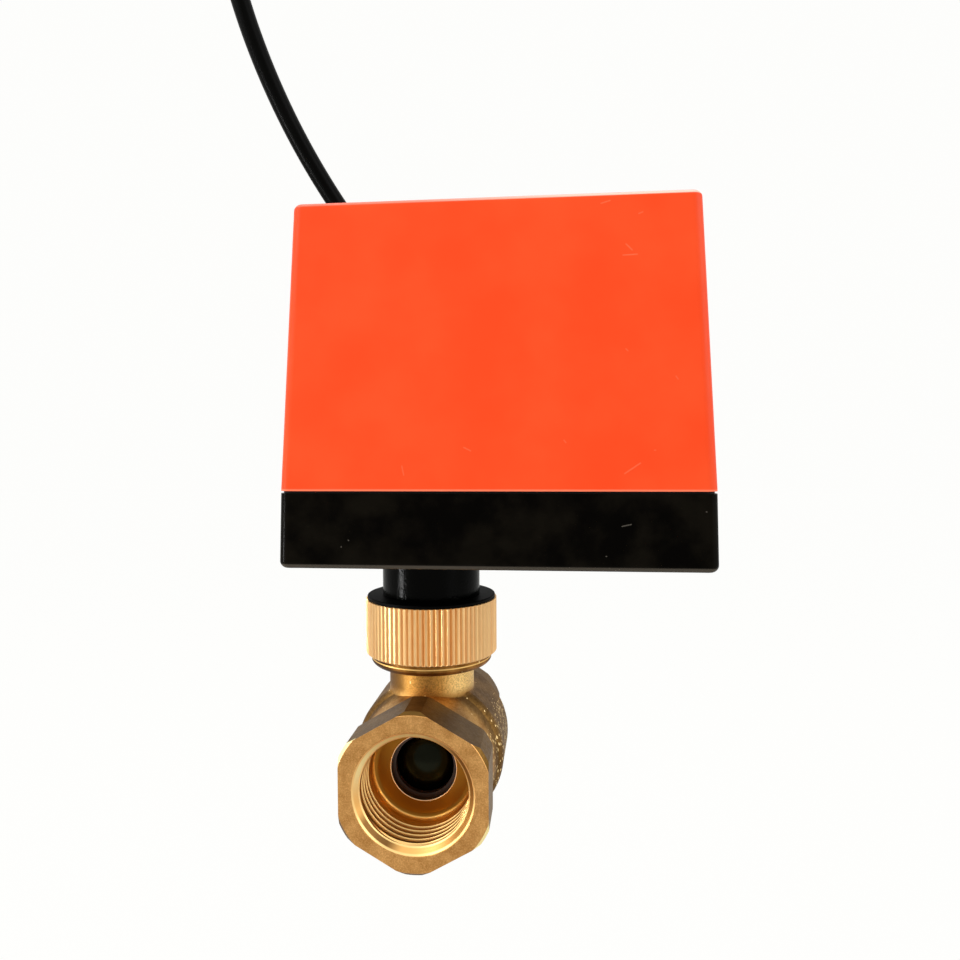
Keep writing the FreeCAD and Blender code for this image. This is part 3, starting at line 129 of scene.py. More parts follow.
def makeCord(route):
    data = bpy.data.curves.new("lead", "CURVE")
    data.dimensions = "3D"
    spline = data.splines.new("NURBS")
    spline.points.add(len(route["points"]) - 1)
    for point, place in zip(spline.points, route["points"]):
        point.co = (place[0] * mm, place[1] * mm, place[2] * mm, 1.0)
        point.radius = route["radius"]   # times a bevel of 1, because the curve's box grows by it
    spline.order_u = route["order"]
    spline.use_endpoint_u = True
    spline.resolution_u = route["steps"]
    data.bevel_depth = 1.0
    data.bevel_resolution = route["roundness"]
    data.use_fill_caps = True
    lead = bpy.data.objects.new("lead", data)
    bpy.context.scene.collection.objects.link(lead)
    return lead


lead = makeCord(cordRoute)
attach(lead, bodyName)
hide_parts("cord")
print("lead laid")


# shader helpers: a colour is three screen values, or the output of another node

def feed(tree, socket, value):
    # another node's output is linked, a value is set
    if isinstance(value, bpy.types.NodeSocket):
        tree.links.new(value, socket)
    else:
        socket.default_value = value


def addNode(tree, kind, feeds=None, **settings):
    node = tree.nodes.new(kind)
    for name, value in settings.items():
        setattr(node, name, value)
    for name, value in (feeds or {}).items():
        feed(tree, node.inputs[name], value)
    return node


def calc(tree, operation, first, second=None, clamp=False):
    feeds = {0: first} if second is None else {0: first, 1: second}
    return addNode(tree, "ShaderNodeMath", feeds, operation=operation, use_clamp=clamp).outputs[0]


def plus(tree, first, second):
    return calc(tree, "ADD", first, second)


def times(tree, first, second):
    return calc(tree, "MULTIPLY", first, second)


def awayFrom(tree, value, place):
    # how far value is from place, to either side
    return calc(tree, "ABSOLUTE", calc(tree, "SUBTRACT", value, place))


def weighted(tree, *terms):
    # the sum of each value times its share
    total = None
    for value, share in terms:
        part = times(tree, value, share)
        total = part if total is None else plus(tree, total, part)
    return total


def vectorCalc(tree, operation, first, second=None):
    feeds = {0: first} if second is None else {0: first, 1: second}
    node = addNode(tree, "ShaderNodeVectorMath", feeds, operation=operation)
    givesNumber = operation in ("LENGTH", "DISTANCE", "DOT_PRODUCT")
    return node.outputs["Value" if givesNumber else "Vector"]


def split(tree, vector):
    return addNode(tree, "ShaderNodeSeparateXYZ", {0: vector}).outputs


def join(tree, x, y, z):
    return addNode(tree, "ShaderNodeCombineXYZ", {0: x, 1: y, 2: z}).outputs[0]


def flatLength(tree, x, y):
    # the root of x squared plus y squared
    return calc(tree, "SQRT", plus(tree, times(tree, x, x), times(tree, y, y)))


def blendColor(tree, share, first, second):
    first, second = [paint(*end) if isinstance(end, tuple) else end for end in (first, second)]
    return addNode(tree, "ShaderNodeMix", {0: share, 6: first, 7: second},
                   data_type="RGBA").outputs[2]


def blendValue(tree, share, first, second):
    return addNode(tree, "ShaderNodeMix", {0: share, 2: first, 3: second}).outputs[0]


def band(tree, value, low, high, lowOut=0.0, highOut=1.0):
    # a soft step of value from lowOut at low to highOut at high
    return addNode(tree, "ShaderNodeMapRange",
                   {0: value, 1: low, 2: high, 3: lowOut, 4: highOut},
                   interpolation_type="SMOOTHSTEP").outputs[0]


def noise(tree, vector, scale, detail=2.0, roughness=0.5):
    return addNode(tree, "ShaderNodeTexNoise",
                   {"Vector": vector, "Scale": scale, "Detail": detail,
                    "Roughness": roughness}).outputs["Fac"]


def patches(tree, vector, scale, detail, roughness, low, high):
    # noise whose stretch from low to high is spread over 0 to 1
    return band(tree, noise(tree, vector, scale, detail, roughness), low, high)


def cells(tree, vector, scale):
    return addNode(tree, "ShaderNodeTexVoronoi", {"Vector": vector, "Scale": scale}).outputs


def newGroup(name, inputs, outputs):
    group = bpy.data.node_groups.new(name, "ShaderNodeTree")
    for label, kind, value in inputs:
        socket = group.interface.new_socket(label, in_out="INPUT", socket_type=kind)
        if value is not None:
            socket.default_value = value
    for label, kind in outputs:
        group.interface.new_socket(label, in_out="OUTPUT", socket_type=kind)
    return group, group.nodes.new("NodeGroupInput").outputs, group.nodes.new("NodeGroupOutput").inputs


def placeGroup(tree, group, **feeds):
    node = tree.nodes.new("ShaderNodeGroup")
    node.node_tree = group
    for name, value in feeds.items():
        feed(tree, node.inputs[name], value)
    return node.outputs


floatSocket = "NodeSocketFloat"
vectorSocket = "NodeSocketVector"


def makeMouldGrain():
    # moulded plastic: a fine even grain, with a broad cloudy tone over it
    group, given, out = newGroup(
        "mouldGrain",
        [("Vector", vectorSocket, None), ("Grain", floatSocket, 2.5), ("Cloud", floatSocket, 0.05)],
        [("Height", floatSocket), ("Tone", floatSocket)])
    fine = noise(group, given["Vector"], given["Grain"], 3.0, 0.6)
    pits = cells(group, given["Vector"], times(group, given["Grain"], 0.7))["Distance"]
    feed(group, out["Height"], weighted(group, (fine, 0.7), (pits, 0.3)))
    feed(group, out["Tone"], noise(group, given["Vector"], given["Cloud"], 3.0, 0.55))
    return group


def makeScratchMark():
    # one scratch: a ragged line from Start to End, about as far as Width to each side
    group, given, out = newGroup(
        "scratchMark",
        [("Vector", vectorSocket, None), ("Start", vectorSocket, (0.0, 0.0, 0.0)),
         ("End", vectorSocket, (1.0, 0.0, 0.0)), ("Width", floatSocket, 0.2)],
        [("Mask", floatSocket)])
    toPoint = vectorCalc(group, "SUBTRACT", given["Vector"], given["Start"])
    along = vectorCalc(group, "SUBTRACT", given["End"], given["Start"])
    share = calc(group, "DIVIDE", vectorCalc(group, "DOT_PRODUCT", toPoint, along),
                 vectorCalc(group, "DOT_PRODUCT", along, along), clamp=True)
    nearest = addNode(group, "ShaderNodeVectorMath", {0: along, "Scale": share},
                      operation="SCALE").outputs[0]
    gap = vectorCalc(group, "DISTANCE", toPoint, nearest)
    ragged = plus(group, gap, times(group, noise(group, given["Vector"], 3.0),
                                    times(group, given["Width"], 0.6)))
    widths = calc(group, "DIVIDE", ragged, given["Width"])
    feed(group, out["Mask"], band(group, widths, 0.5, 1.6, 1.0, 0.0))
    return group


def makeSpecks():
    # sparse grains: the middles of a few random cells, the mask of the painted glints
    group, given, out = newGroup(
        "metalSpecks",
        [("Vector", vectorSocket, None), ("Spacing", floatSocket, 0.3), ("Size", floatSocket, 0.1),
         ("Share", floatSocket, 0.15)],
        [("Mask", floatSocket)])
    grains = cells(group, given["Vector"], given["Spacing"])
    near = calc(group, "LESS_THAN", grains["Distance"], given["Size"])
    pick = addNode(group, "ShaderNodeSeparateColor", {0: grains["Color"]}).outputs[0]
    feed(group, out["Mask"], times(group, near, calc(group, "LESS_THAN", pick, given["Share"])))
    return group


def makeSandCast():
    # sand casting: coarse lumps, small grains and sharp pits, and a tone that follows the grains
    group, given, out = newGroup(
        "sandCast",
        [("Vector", vectorSocket, None), ("Grain", floatSocket, 1.6)],
        [("Height", floatSocket), ("Tone", floatSocket)])
    lumps = noise(group, given["Vector"], times(group, given["Grain"], 0.35), 3.0, 0.6)
    grains = noise(group, given["Vector"], given["Grain"], 4.0, 0.7)
    pits = cells(group, given["Vector"], times(group, given["Grain"], 1.3))["Distance"]
    feed(group, out["Height"], weighted(group, (lumps, 0.9), (grains, 0.6), (pits, 0.35)))
    feed(group, out["Tone"], band(group, grains, 0.3, 0.75))
    return group


def makeTurnedRings():
    # lathe marks: noise along the radius about the local Z axis, so each ring has one value
    group, given, out = newGroup(
        "turnedRings",
        [("Vector", vectorSocket, None), ("Lines", floatSocket, 6.0), ("Drift", floatSocket, 0.15)],
        [("Height", floatSocket), ("Tone", floatSocket)])
    x, y, z = split(group, given["Vector"])
    wander = times(group, noise(group, given["Vector"], 0.2), given["Drift"])
    line = join(group, plus(group, flatLength(group, x, y), wander), z, 0.0)
    feed(group, out["Height"], noise(group, line, given["Lines"], 3.0, 0.6))
    feed(group, out["Tone"], noise(group, line, times(group, given["Lines"], 0.25)))
    return group


mouldGrain = makeMouldGrain()
scratchMark = makeScratchMark()
metalSpecks = makeSpecks()
sandCast = makeSandCast()
turnedRings = makeTurnedRings()
print("shader groups made")


def startMaterial(name):
    # gives the material, its tree and shader, and the place on the object in millimetres
    material = bpy.data.materials.new(name)
    material.use_nodes = True
    tree = material.node_tree
    shader = next(node for node in tree.nodes if node.type == "BSDF_PRINCIPLED")
    place = addNode(tree, "ShaderNodeTexCoord").outputs["Object"]
    inMm = vectorCalc(tree, "MULTIPLY", place, (1.0 / mm, 1.0 / mm, 1.0 / mm))
    return material, tree, shader, inMm


def setShader(tree, shader, feeds):
    for name, value in feeds.items():
        feed(tree, shader.inputs[name], value)


def bump(tree, height, depth):
    # depth is the relief in millimetres for a height of 1
    return addNode(tree, "ShaderNodeBump", {"Height": height, "Distance": depth * mm}).outputs[0]


def addScratches(tree, inMm, spec, shade, rough):
    # the lines stand on a face whose front leans back by lean for each millimetre up
    ahead, foot = spec["foot"]
    marks = None
    for line in spec["lines"]:
        start, end = [(across, ahead + (up - foot) * spec["lean"], up) for across, up in line]
        mark = placeGroup(tree, scratchMark, Vector=inMm, Start=start, End=end,
                          Width=spec["width"])["Mask"]
        marks = mark if marks is None else calc(tree, "MAXIMUM", marks, mark)
    shade = blendColor(tree, times(tree, marks, spec["share"]), shade, spec["color"])
    return shade, blendValue(tree, marks, rough, spec["roughness"])


def addPaintedHighlightLine(tree, inMm, rim, shade):
    # a painted highlight: a lighter line along a rounded edge at one height, full within 0.4 of its
    # width
    # with a fade it grows from a quarter on the left to all of it on the right
    place = split(tree, inMm)
    offLine = awayFrom(tree, place["Z"], rim["height"])
    line = band(tree, offLine, rim["width"] * 0.4, rim["width"], 1.0, 0.0)
    if "fade" in rim:
        line = times(tree, line, band(tree, place["X"], *rim["fade"], 0.25, 1.0))
    return blendColor(tree, line, shade, rim["color"])


def makePlastic(name, color, lighter, roughness, grain=2.5, depth=0.006, cloud=0.05, swing=0.08,
                shine=0.5, scratches=None, highlightLines=()):
    # the cloudy tone goes from color to lighter
    # swing is how far the roughness goes to each side, shine the strength of its reflections
    material, tree, shader, inMm = startMaterial(name)
    grained = placeGroup(tree, mouldGrain, Vector=inMm, Grain=grain, Cloud=cloud)
    shade = blendColor(tree, band(tree, grained["Tone"], 0.35, 0.7), color, lighter)
    rough = blendValue(tree, grained["Height"], roughness - swing, roughness + swing)
    if scratches:
        shade, rough = addScratches(tree, inMm, scratches, shade, rough)
    for rim in highlightLines:
        shade = addPaintedHighlightLine(tree, inMm, rim, shade)
    setShader(tree, shader, {"Base Color": shade, "Roughness": rough, "IOR": 1.5,
                             "Normal": bump(tree, grained["Height"], depth),
                             "Specular IOR Level": shine})
    return material


def makeMetal(name, color, darker, roughness, depth=0.004, swing=0.08):
    material, tree, shader, inMm = startMaterial(name)
    grained = placeGroup(tree, mouldGrain, Vector=inMm, Grain=3.0, Cloud=0.12)
    setShader(tree, shader, {
        "Base Color": blendColor(tree, grained["Tone"], darker, color),
        "Roughness": blendValue(tree, grained["Height"], roughness - swing, roughness + swing),
        "Normal": bump(tree, grained["Height"], depth), "Metallic": 1.0})
    return material


def makeTurnedMetal(name, spec):
    # turned about the stem's upright axis
    material, tree, shader, inMm = startMaterial(name)
    aboutStem = vectorCalc(tree, "SUBTRACT", inMm, (0.0, valveLength / 2, 0.0))
    rings = placeGroup(tree, turnedRings, Vector=aboutStem, Lines=spec["lines"], Drift=spec["drift"])
    stain = patches(tree, inMm, *spec["stains"])
    tone = weighted(tree, *zip((rings["Tone"], stain), spec["shares"]))
    setShader(tree, shader, {"Base Color": blendColor(tree, tone, spec["darker"], spec["color"]),
                             "Roughness": blendValue(tree, rings["Height"], *spec["roughness"]),
                             "Normal": bump(tree, rings["Height"], spec["depth"]), "Metallic": 1.0})
    return material


# the lead's three cores: brown, blue and yellow-green, told apart by their place round its end

coreColors = {
    "before": (-79.5, 86.5, 243.0),   # two places on the lead's last stretch
    "end": (-84.5, 79.5, 274.0),
    "brown": (112, 62, 30),
    "blue": (36, 84, 178),
    "yellow": (232, 200, 30),
    "green": (40, 150, 60),
    "stripe": 0.55,            # share of the third core's girth that is green
    "brownStart": 1.0 / 12.0,  # of a turn before the direction called side
    "roughness": (0.3, 0.46),
}


def makeCoreColors(name, spec):
    # the angle about the lead's last stretch, cut in three
    material, tree, shader, inMm = startMaterial(name)
    before, end = np.array(spec["before"]), np.array(spec["end"])
    along = (end - before) / np.linalg.norm(end - before)
    side = np.cross(along, (0.0, 1.0, 0.0))
    side = side / np.linalg.norm(side)
    fromEnd = vectorCalc(tree, "SUBTRACT", inMm, tuple(end))
    across, up = [vectorCalc(tree, "DOT_PRODUCT", fromEnd, tuple(way))
                  for way in (side, np.cross(along, side))]
    angle = calc(tree, "ARCTAN2", up, across)
    turn = calc(tree, "FRACT", plus(tree, calc(tree, "DIVIDE", angle, 2.0 * math.pi),
                                    1.0 + spec["brownStart"]))
    pastFirst = calc(tree, "GREATER_THAN", turn, 1.0 / 3.0)
    pastSecond = calc(tree, "GREATER_THAN", turn, 2.0 / 3.0)
    onStripe = calc(tree, "GREATER_THAN", turn, 1.0 - spec["stripe"] / 3.0)
    earth = blendColor(tree, onStripe, spec["yellow"], spec["green"])
    shade = blendColor(tree, pastFirst, spec["brown"], spec["blue"])
    shade = blendColor(tree, pastSecond, shade, earth)
    grained = placeGroup(tree, mouldGrain, Vector=inMm, Grain=2.5, Cloud=0.2)
    setShader(tree, shader, {"Base Color": shade,
                             "Roughness": blendValue(tree, grained["Height"], *spec["roughness"]),
                             "Normal": bump(tree, grained["Height"], 0.004)})
    return material


# brass of the valve body: cast skin outside, turned where a tool has been
# places are in millimetres, and a pair of them is where a soft step starts and ends
# five numbers make patches: scale, detail and roughness of a noise, and its stretch that counts

valveBrass = {
    "cast": (206, 160, 92),
    "castDark": (156, 108, 46),
    "castGrain": 1.5,
    "castRoughness": (0.54, 0.38),   # of its dark and of its light grains
    "castDepth": (0.045, 0.135),   # elsewhere and on the rough side
    "blotches": (0.16, 3.0, 0.55, 0.38, 0.62),
    "blotchShare": 0.55,
    "roughGlintSide": (14.0, 16.5),     # beyond this, to the right, the cast's bumps are deeper and the painted glints thicker
    "glint": (255, 224, 160),      # painted glints: specks of bright colour for grains that catch the light
    "glintSpacing": 1.9,
    "glintSize": 0.32,
    "glintShare": (0.008, 0.7),    # of the cells, elsewhere and on the rough side
    "glintStretch": (1.0, 1.0, 0.4),
    "glintStrength": 0.85,
    "barrel": (134, 100, 54),      # duller behind the neck
    "barrelDark": (96, 68, 32),
    "barrelAlong": (17.0, 20.0),
    "barrelRadius": (15.5, 16.5),
    "barrelRougher": 0.1,
    "neckEdge": (10.65, 11.45),    # the barrel's tone starts here, seen from the stem's axis
    "neckFoot": (14.5, 15.8),      # and below this height
    "neckMiddle": (224, 166, 84),  # the neck's skin, with painted shade on the left and a painted sheen on the right
    "neckShadeLeft": (124, 88, 42),
    "neckShadeEnd": (-6.5, -2.5),
    "neckSheenRight": (255, 214, 138),
    "neckSheenStart": (3.0, 8.0),
    "neckSand": (120, 78, 28),     # the grains in it
    "neckSandShare": 0.5,
    "neckGrains": (2.4, 4.0, 0.75, 0.4, 0.64),
    "neckStart": (15.0, 17.5),
    "collar": (164, 114, 56),
    "collarDark": (116, 74, 30),
    # painted shade on the collar's left
    "collarShadeLeft": (70, 44, 18),
    "collarShadeEnd": (-9.0, -3.0),
    "collarLow": 21.4,
    "collarRadius": 11.2,
    # a painted highlight line round the collar
    "collarHighlight": (238, 194, 116),
    "collarHighlightHeight": 23.55,
    "collarHighlightWidth": (0.06, 0.22),
    "flat": (122, 92, 48),         # the hexes' drawn faces
    "flatDark": (104, 76, 36),
    "hexEnd": 11.2,
    "hexRadius": 14.4,
    "hexSmooth": 0.85,
    "rim": (255, 236, 172),        # chamfer of the hexes' corners, a painted highlight
    "rimRadius": 17.25,
    "rimDepth": 0.85,
    "rimHighlightCorners": (-120.0, -60.0),  # of x times z: painted highlight at the upper left and lower right corners
    "face": (232, 178, 110),       # end faces
    "faceDark": (160, 108, 52),
    "faceDepth": 0.12,
    "faceRougher": 0.06,
    "faceGrains": (2.6, 4.0, 0.8, 0.42, 0.64),
    "faceShares": (0.42, 0.18, 0.4),   # of stains, rings and grains in its tone
    "stains": (0.22, 4.0, 0.6, 0.3, 0.7),
    "turnedRoughness": (0.24, 0.40),
    "ringLines": 5.0,
    "ringDrift": 0.2,
    "ringDepth": 0.005,
    "bore": (250, 204, 130),
    "boreRadius": 14.2,
    "leadIn": (146, 102, 50),      # cone at each mouth, with painted shade on its right side
    "leadInEnd": (1.6, 1.8),
    # painted highlight on the cone's left, paler still towards its top
    "leadInHighlight": (232, 178, 104),
    "leadInHighlightFade": (1.0, 11.0),
    "leadInTopHighlight": (255, 244, 184),
    "leadInRise": (-3.0, 7.0),
    "leadInRougher": 0.1,
    "leadInDarkPatch": (84, 54, 26),    # a darker patch on it
    "darkPatchPlace": (-8.6, 0.8, -9.6),
    "darkPatchWidth": (3.0, 7.0),
    "darkPatchShare": 0.85,
    "leadInEdgeHighlight": (248, 208, 138),  # painted highlights along its two edges
    "leadInEdgeDepths": (0.2, 1.6),
    "leadInEdgeWidth": (0.16, 0.36),
    "deepShade": (142, 92, 30),         # painted shade deep in the port, behind the thread
    "deepStart": (10.9, 11.9),
    # the wall there, painted lighter against the shade of the thread's undercut
    "deepWall": (255, 206, 120),
    "deepWallRadius": (11.5, 11.9),
}


def valvePlaces(tree, inMm):
    # depth is from the nearer mouth; the radii are from the bore's axis and from the stem's
    x, y, z = split(tree, inMm)
    middle = valveLength / 2
    fromStem = vectorCalc(tree, "SUBTRACT", inMm, (0.0, middle, 0.0))
    flat = vectorCalc(tree, "MULTIPLY", fromStem, (1.0, 1.0, 0.0))
    return {
        "x": x, "y": y, "z": z,
        "depth": calc(tree, "SUBTRACT", middle, awayFrom(tree, y, middle)),
        "boreRadius": flatLength(tree, x, z),
        "stemRadius": vectorCalc(tree, "LENGTH", flat),
    }


def castSkin(tree, spec, inMm, place, cast, stain, onBarrel, onSide):
    # cast skin, then over it the neck with its painted shade and sheen, the barrel, the turned collar
    # with its painted shade and highlight line, and the painted glints
    x, z = place["x"], place["z"]
    blotch = patches(tree, inMm, *spec["blotches"])
    tone = weighted(tree, (cast["Tone"], 1.0 - spec["blotchShare"]), (blotch, spec["blotchShare"]))
    shade = blendColor(tree, tone, spec["castDark"], spec["cast"])
    # painted shade on the neck's left, and a painted sheen on its right
    neck = blendColor(tree, band(tree, x, *spec["neckShadeEnd"]), spec["neckShadeLeft"], spec["neckMiddle"])
    neck = blendColor(tree, band(tree, x, *spec["neckSheenStart"]), neck, spec["neckSheenRight"])
    sand = patches(tree, inMm, *spec["neckGrains"])
    neck = blendColor(tree, times(tree, sand, spec["neckSandShare"]), neck, spec["neckSand"])
    shade = blendColor(tree, band(tree, z, *spec["neckStart"]), shade, neck)
    barrel = blendColor(tree, tone, spec["barrelDark"], spec["barrel"])
    shade = blendColor(tree, onBarrel, shade, barrel)
    onCollar = times(tree, calc(tree, "GREATER_THAN", z, spec["collarLow"]),
                     calc(tree, "GREATER_THAN", place["stemRadius"], spec["collarRadius"]))
    collar = blendColor(tree, stain, spec["collarDark"], spec["collar"])
    # painted shade over the collar's left side
    collar = blendColor(tree, band(tree, x, *spec["collarShadeEnd"], 1.0, 0.0), collar,
                        spec["collarShadeLeft"])
    # a painted highlight line round the collar
    offLine = awayFrom(tree, z, spec["collarHighlightHeight"])
    collar = blendColor(tree, band(tree, offLine, *spec["collarHighlightWidth"], 1.0, 0.0), collar,
                        spec["collarHighlight"])
    shade = blendColor(tree, onCollar, shade, collar)
    # painted glints, thicker on the right side
    tall = vectorCalc(tree, "MULTIPLY", inMm, spec["glintStretch"])
    glints = placeGroup(tree, metalSpecks, Vector=tall,
                        Spacing=spec["glintSpacing"], Size=spec["glintSize"],
                        Share=blendValue(tree, onSide, *spec["glintShare"]))["Mask"]
    return blendColor(tree, times(tree, glints, spec["glintStrength"]), shade, spec["glint"])


def portSkin(tree, spec, inMm, place, onLeadIn):
    # the cone at the mouth with its painted highlight and shade, its darker patch and the painted
    # highlights of its edges, the thread, and the painted shade deep behind it
    x, z, depth = place["x"], place["z"], place["depth"]
    # painted highlight on the cone's left and top, over the painted shade of its right
    offRight = band(tree, x, *spec["leadInHighlightFade"], 1.0, 0.0)
    leadIn = blendColor(tree, offRight, spec["leadIn"], spec["leadInHighlight"])
    leadIn = blendColor(tree, times(tree, offRight, band(tree, z, *spec["leadInRise"])), leadIn,
                        spec["leadInTopHighlight"])
    fromDarkPatch = vectorCalc(tree, "DISTANCE", inMm, spec["darkPatchPlace"])
    leadIn = blendColor(tree, band(tree, fromDarkPatch, *spec["darkPatchWidth"], spec["darkPatchShare"], 0.0), leadIn,
                        spec["leadInDarkPatch"])
    # painted highlights along the cone's two edges
    first, second = [awayFrom(tree, depth, line) for line in spec["leadInEdgeDepths"]]
    nearLine = calc(tree, "MINIMUM", first, second)
    leadIn = blendColor(tree, band(tree, nearLine, *spec["leadInEdgeWidth"], 1.0, 0.0), leadIn,
                        spec["leadInEdgeHighlight"])
    # painted shade deep in the port, with its wall painted lighter
    deepShade = blendColor(tree, band(tree, place["boreRadius"], *spec["deepWallRadius"]), spec["deepShade"],
                      spec["deepWall"])
    shade = blendColor(tree, onLeadIn, spec["bore"], leadIn)
    return blendColor(tree, band(tree, depth, *spec["deepStart"]), shade, deepShade)


def hexSkin(tree, spec, place, stain):
    # the drawn faces, and the chamfer of their corners: a painted highlight at two of them, painted
    # dull elsewhere
    onRim = times(tree, calc(tree, "GREATER_THAN", place["boreRadius"], spec["rimRadius"]),
                  calc(tree, "LESS_THAN", place["depth"], spec["rimDepth"]))
    bright = band(tree, times(tree, place["x"], place["z"]), *spec["rimHighlightCorners"], 1.0, 0.0)
    rim = blendColor(tree, bright, spec["flatDark"], spec["rim"])
    return blendColor(tree, onRim, blendColor(tree, stain, spec["flatDark"], spec["flat"]), rim)


def makeValveBrass(name, spec):
    # masks by place choose between the skins, and each later one lies over those before it
    material, tree, shader, inMm = startMaterial(name)
    place = valvePlaces(tree, inMm)
    radius, depth = place["boreRadius"], place["depth"]
    onFace = calc(tree, "LESS_THAN", depth, spec["faceDepth"])
    inBore = calc(tree, "LESS_THAN", radius, spec["boreRadius"])
    onHex = times(tree, calc(tree, "LESS_THAN", depth, spec["hexEnd"]),
                  calc(tree, "GREATER_THAN", radius, spec["hexRadius"]))
    onLeadIn = band(tree, depth, *spec["leadInEnd"], 1.0, 0.0)
    onSide = band(tree, place["x"], *spec["roughGlintSide"])
    offNeck = calc(tree, "MAXIMUM", band(tree, place["stemRadius"], *spec["neckEdge"]),
                   band(tree, place["z"], *spec["neckFoot"], 1.0, 0.0))
    onBarrel = times(tree, times(tree, band(tree, place["y"], *spec["barrelAlong"]),
                                 band(tree, radius, *spec["barrelRadius"])), offNeck)

    cast = placeGroup(tree, sandCast, Vector=inMm, Grain=spec["castGrain"])
    aboutBore = join(tree, place["x"], place["z"], place["y"])
    rings = placeGroup(tree, turnedRings, Vector=aboutBore, Lines=spec["ringLines"],
                       Drift=spec["ringDrift"])
    stain = patches(tree, inMm, *spec["stains"])
    parts = (stain, rings["Tone"], patches(tree, inMm, *spec["faceGrains"]))
    faceTone = weighted(tree, *zip(parts, spec["faceShares"]))
    face = blendColor(tree, faceTone, spec["faceDark"], spec["face"])

    shade = castSkin(tree, spec, inMm, place, cast, stain, onBarrel, onSide)
    shade = blendColor(tree, onHex, shade, hexSkin(tree, spec, place, stain))
    shade = blendColor(tree, inBore, shade, portSkin(tree, spec, inMm, place, onLeadIn))
    shade = blendColor(tree, onFace, shade, face)

    castRough = blendValue(tree, cast["Tone"], *spec["castRoughness"])
    castRough = plus(tree, castRough, times(tree, onBarrel, spec["barrelRougher"]))
    turnedRough = blendValue(tree, rings["Height"], *spec["turnedRoughness"])
    boreRough = plus(tree, turnedRough, times(tree, onLeadIn, spec["leadInRougher"]))
    rough = blendValue(tree, inBore, castRough, boreRough)
    rough = blendValue(tree, onFace, rough, plus(tree, turnedRough, spec["faceRougher"]))

    turned = calc(tree, "MAXIMUM", onFace, inBore)
    smooth = calc(tree, "MAXIMUM", turned, times(tree, onHex, spec["hexSmooth"]))
    castHeight = times(tree, cast["Height"], blendValue(tree, onSide, *spec["castDepth"]))
    height = blendValue(tree, smooth, castHeight, times(tree, rings["Height"], spec["ringDepth"]))
    setShader(tree, shader, {"Base Color": shade, "Roughness": rough, "Normal": bump(tree, height, 1.0),
                             "Metallic": 1.0})
    return material


# brass of the knurled nut: drawn bar, streaked along its teeth

nutBrass = {
    "pale": (250, 206, 144),
    "dark": (234, 178, 118),
    "streaks": (0.55, 3.0, 0.7, 0.36, 0.62),   # along the rim's girth
    "scratches": (5.0, 2.0, 0.6),              # scale, detail and roughness of a noise
    "stains": (0.35, 3.0, 0.6, 0.3, 0.7),
    "shares": (0.6, 0.25, 0.15),   # of streaks, scratches and stains in its tone
    "stretch": 0.04,               # how much slower they change along the height
    "roughness": (0.32, 0.48),
    "scratchDepth": 0.008,
    "rimRadius": 16.2,
}


def makeKnurlBrass(name, spec):
    # noise over the length round the rim, drawn out along the height
    material, tree, shader, inMm = startMaterial(name)
    x, y, z = split(tree, vectorCalc(tree, "SUBTRACT", inMm, (0.0, valveLength / 2, 0.0)))
    girth = times(tree, calc(tree, "ARCTAN2", y, x), spec["rimRadius"])
    strip = join(tree, girth, times(tree, z, spec["stretch"]), 0.0)
    streak = patches(tree, strip, *spec["streaks"])
    fine = noise(tree, strip, *spec["scratches"])
    stain = patches(tree, inMm, *spec["stains"])
    tone = weighted(tree, *zip((streak, fine, stain), spec["shares"]))
    setShader(tree, shader, {"Base Color": blendColor(tree, tone, spec["dark"], spec["pale"]),
                             "Roughness": blendValue(tree, fine, *spec["roughness"]),
                             "Normal": bump(tree, fine, spec["scratchDepth"]), "Metallic": 1.0})
    return material


# the box: scratches by their two ends across and up, on a face that starts at foot (ahead, up)

coverScratches = {
    "lines": (
        ((39.8, 123.9), (41.6, 124.4)), ((47.3, 121.6), (48.1, 121.9)), ((44.2, 113.4), (47.0, 113.5)),
        ((44.8, 115.6), (46.0, 114.4)), ((54.7, 89.0), (55.1, 88.4)), ((44.8, 94.6), (45.2, 94.2)),
        ((11.9, 74.9), (13.3, 74.2)), ((-1.1, 71.1), (-0.7, 69.2)), ((32.4, 76.3), (32.8, 75.8)),
        ((44.6, 69.5), (47.7, 71.6)), ((50.5, 74.2), (50.7, 74.2)),
    ),
    "foot": (-3.0, 65.86),
    "lean": 1.7 / 60.49,
    "color": (255, 150, 112),
    "roughness": 0.6,
    "width": 0.16,
    "share": 0.27,
}
trayScratches = {
    "lines": (
        ((44.1, 58.8), (45.9, 59.2)), ((60.7, 61.8), (60.8, 61.8)), ((40.9, 52.7), (41.0, 52.7)),
        ((-12.6, 55.6), (-12.5, 55.5)), ((-14.1, 54.2), (-14.1, 54.1)),
    ),
    "foot": (-3.3, 49.35),
    "lean": 0.3 / 16.01,
    "color": (150, 142, 130),
    "roughness": 0.6,
    "width": 0.14,
    "share": 0.26,
}
# painted highlights along the cover's top edge, brighter to the right, and along its bottom edge
coverHighlightLines = [
    {"height": 125.85, "width": 0.45, "fade": (-10.0, 45.0), "color": (255, 206, 186)},
    {"height": 66.05, "width": 0.3, "color": (255, 124, 88)},
]
# a painted highlight along the tray's bottom edge
trayHighlightLines = [{"height": 49.95, "width": 0.55, "color": (72, 66, 58)}]

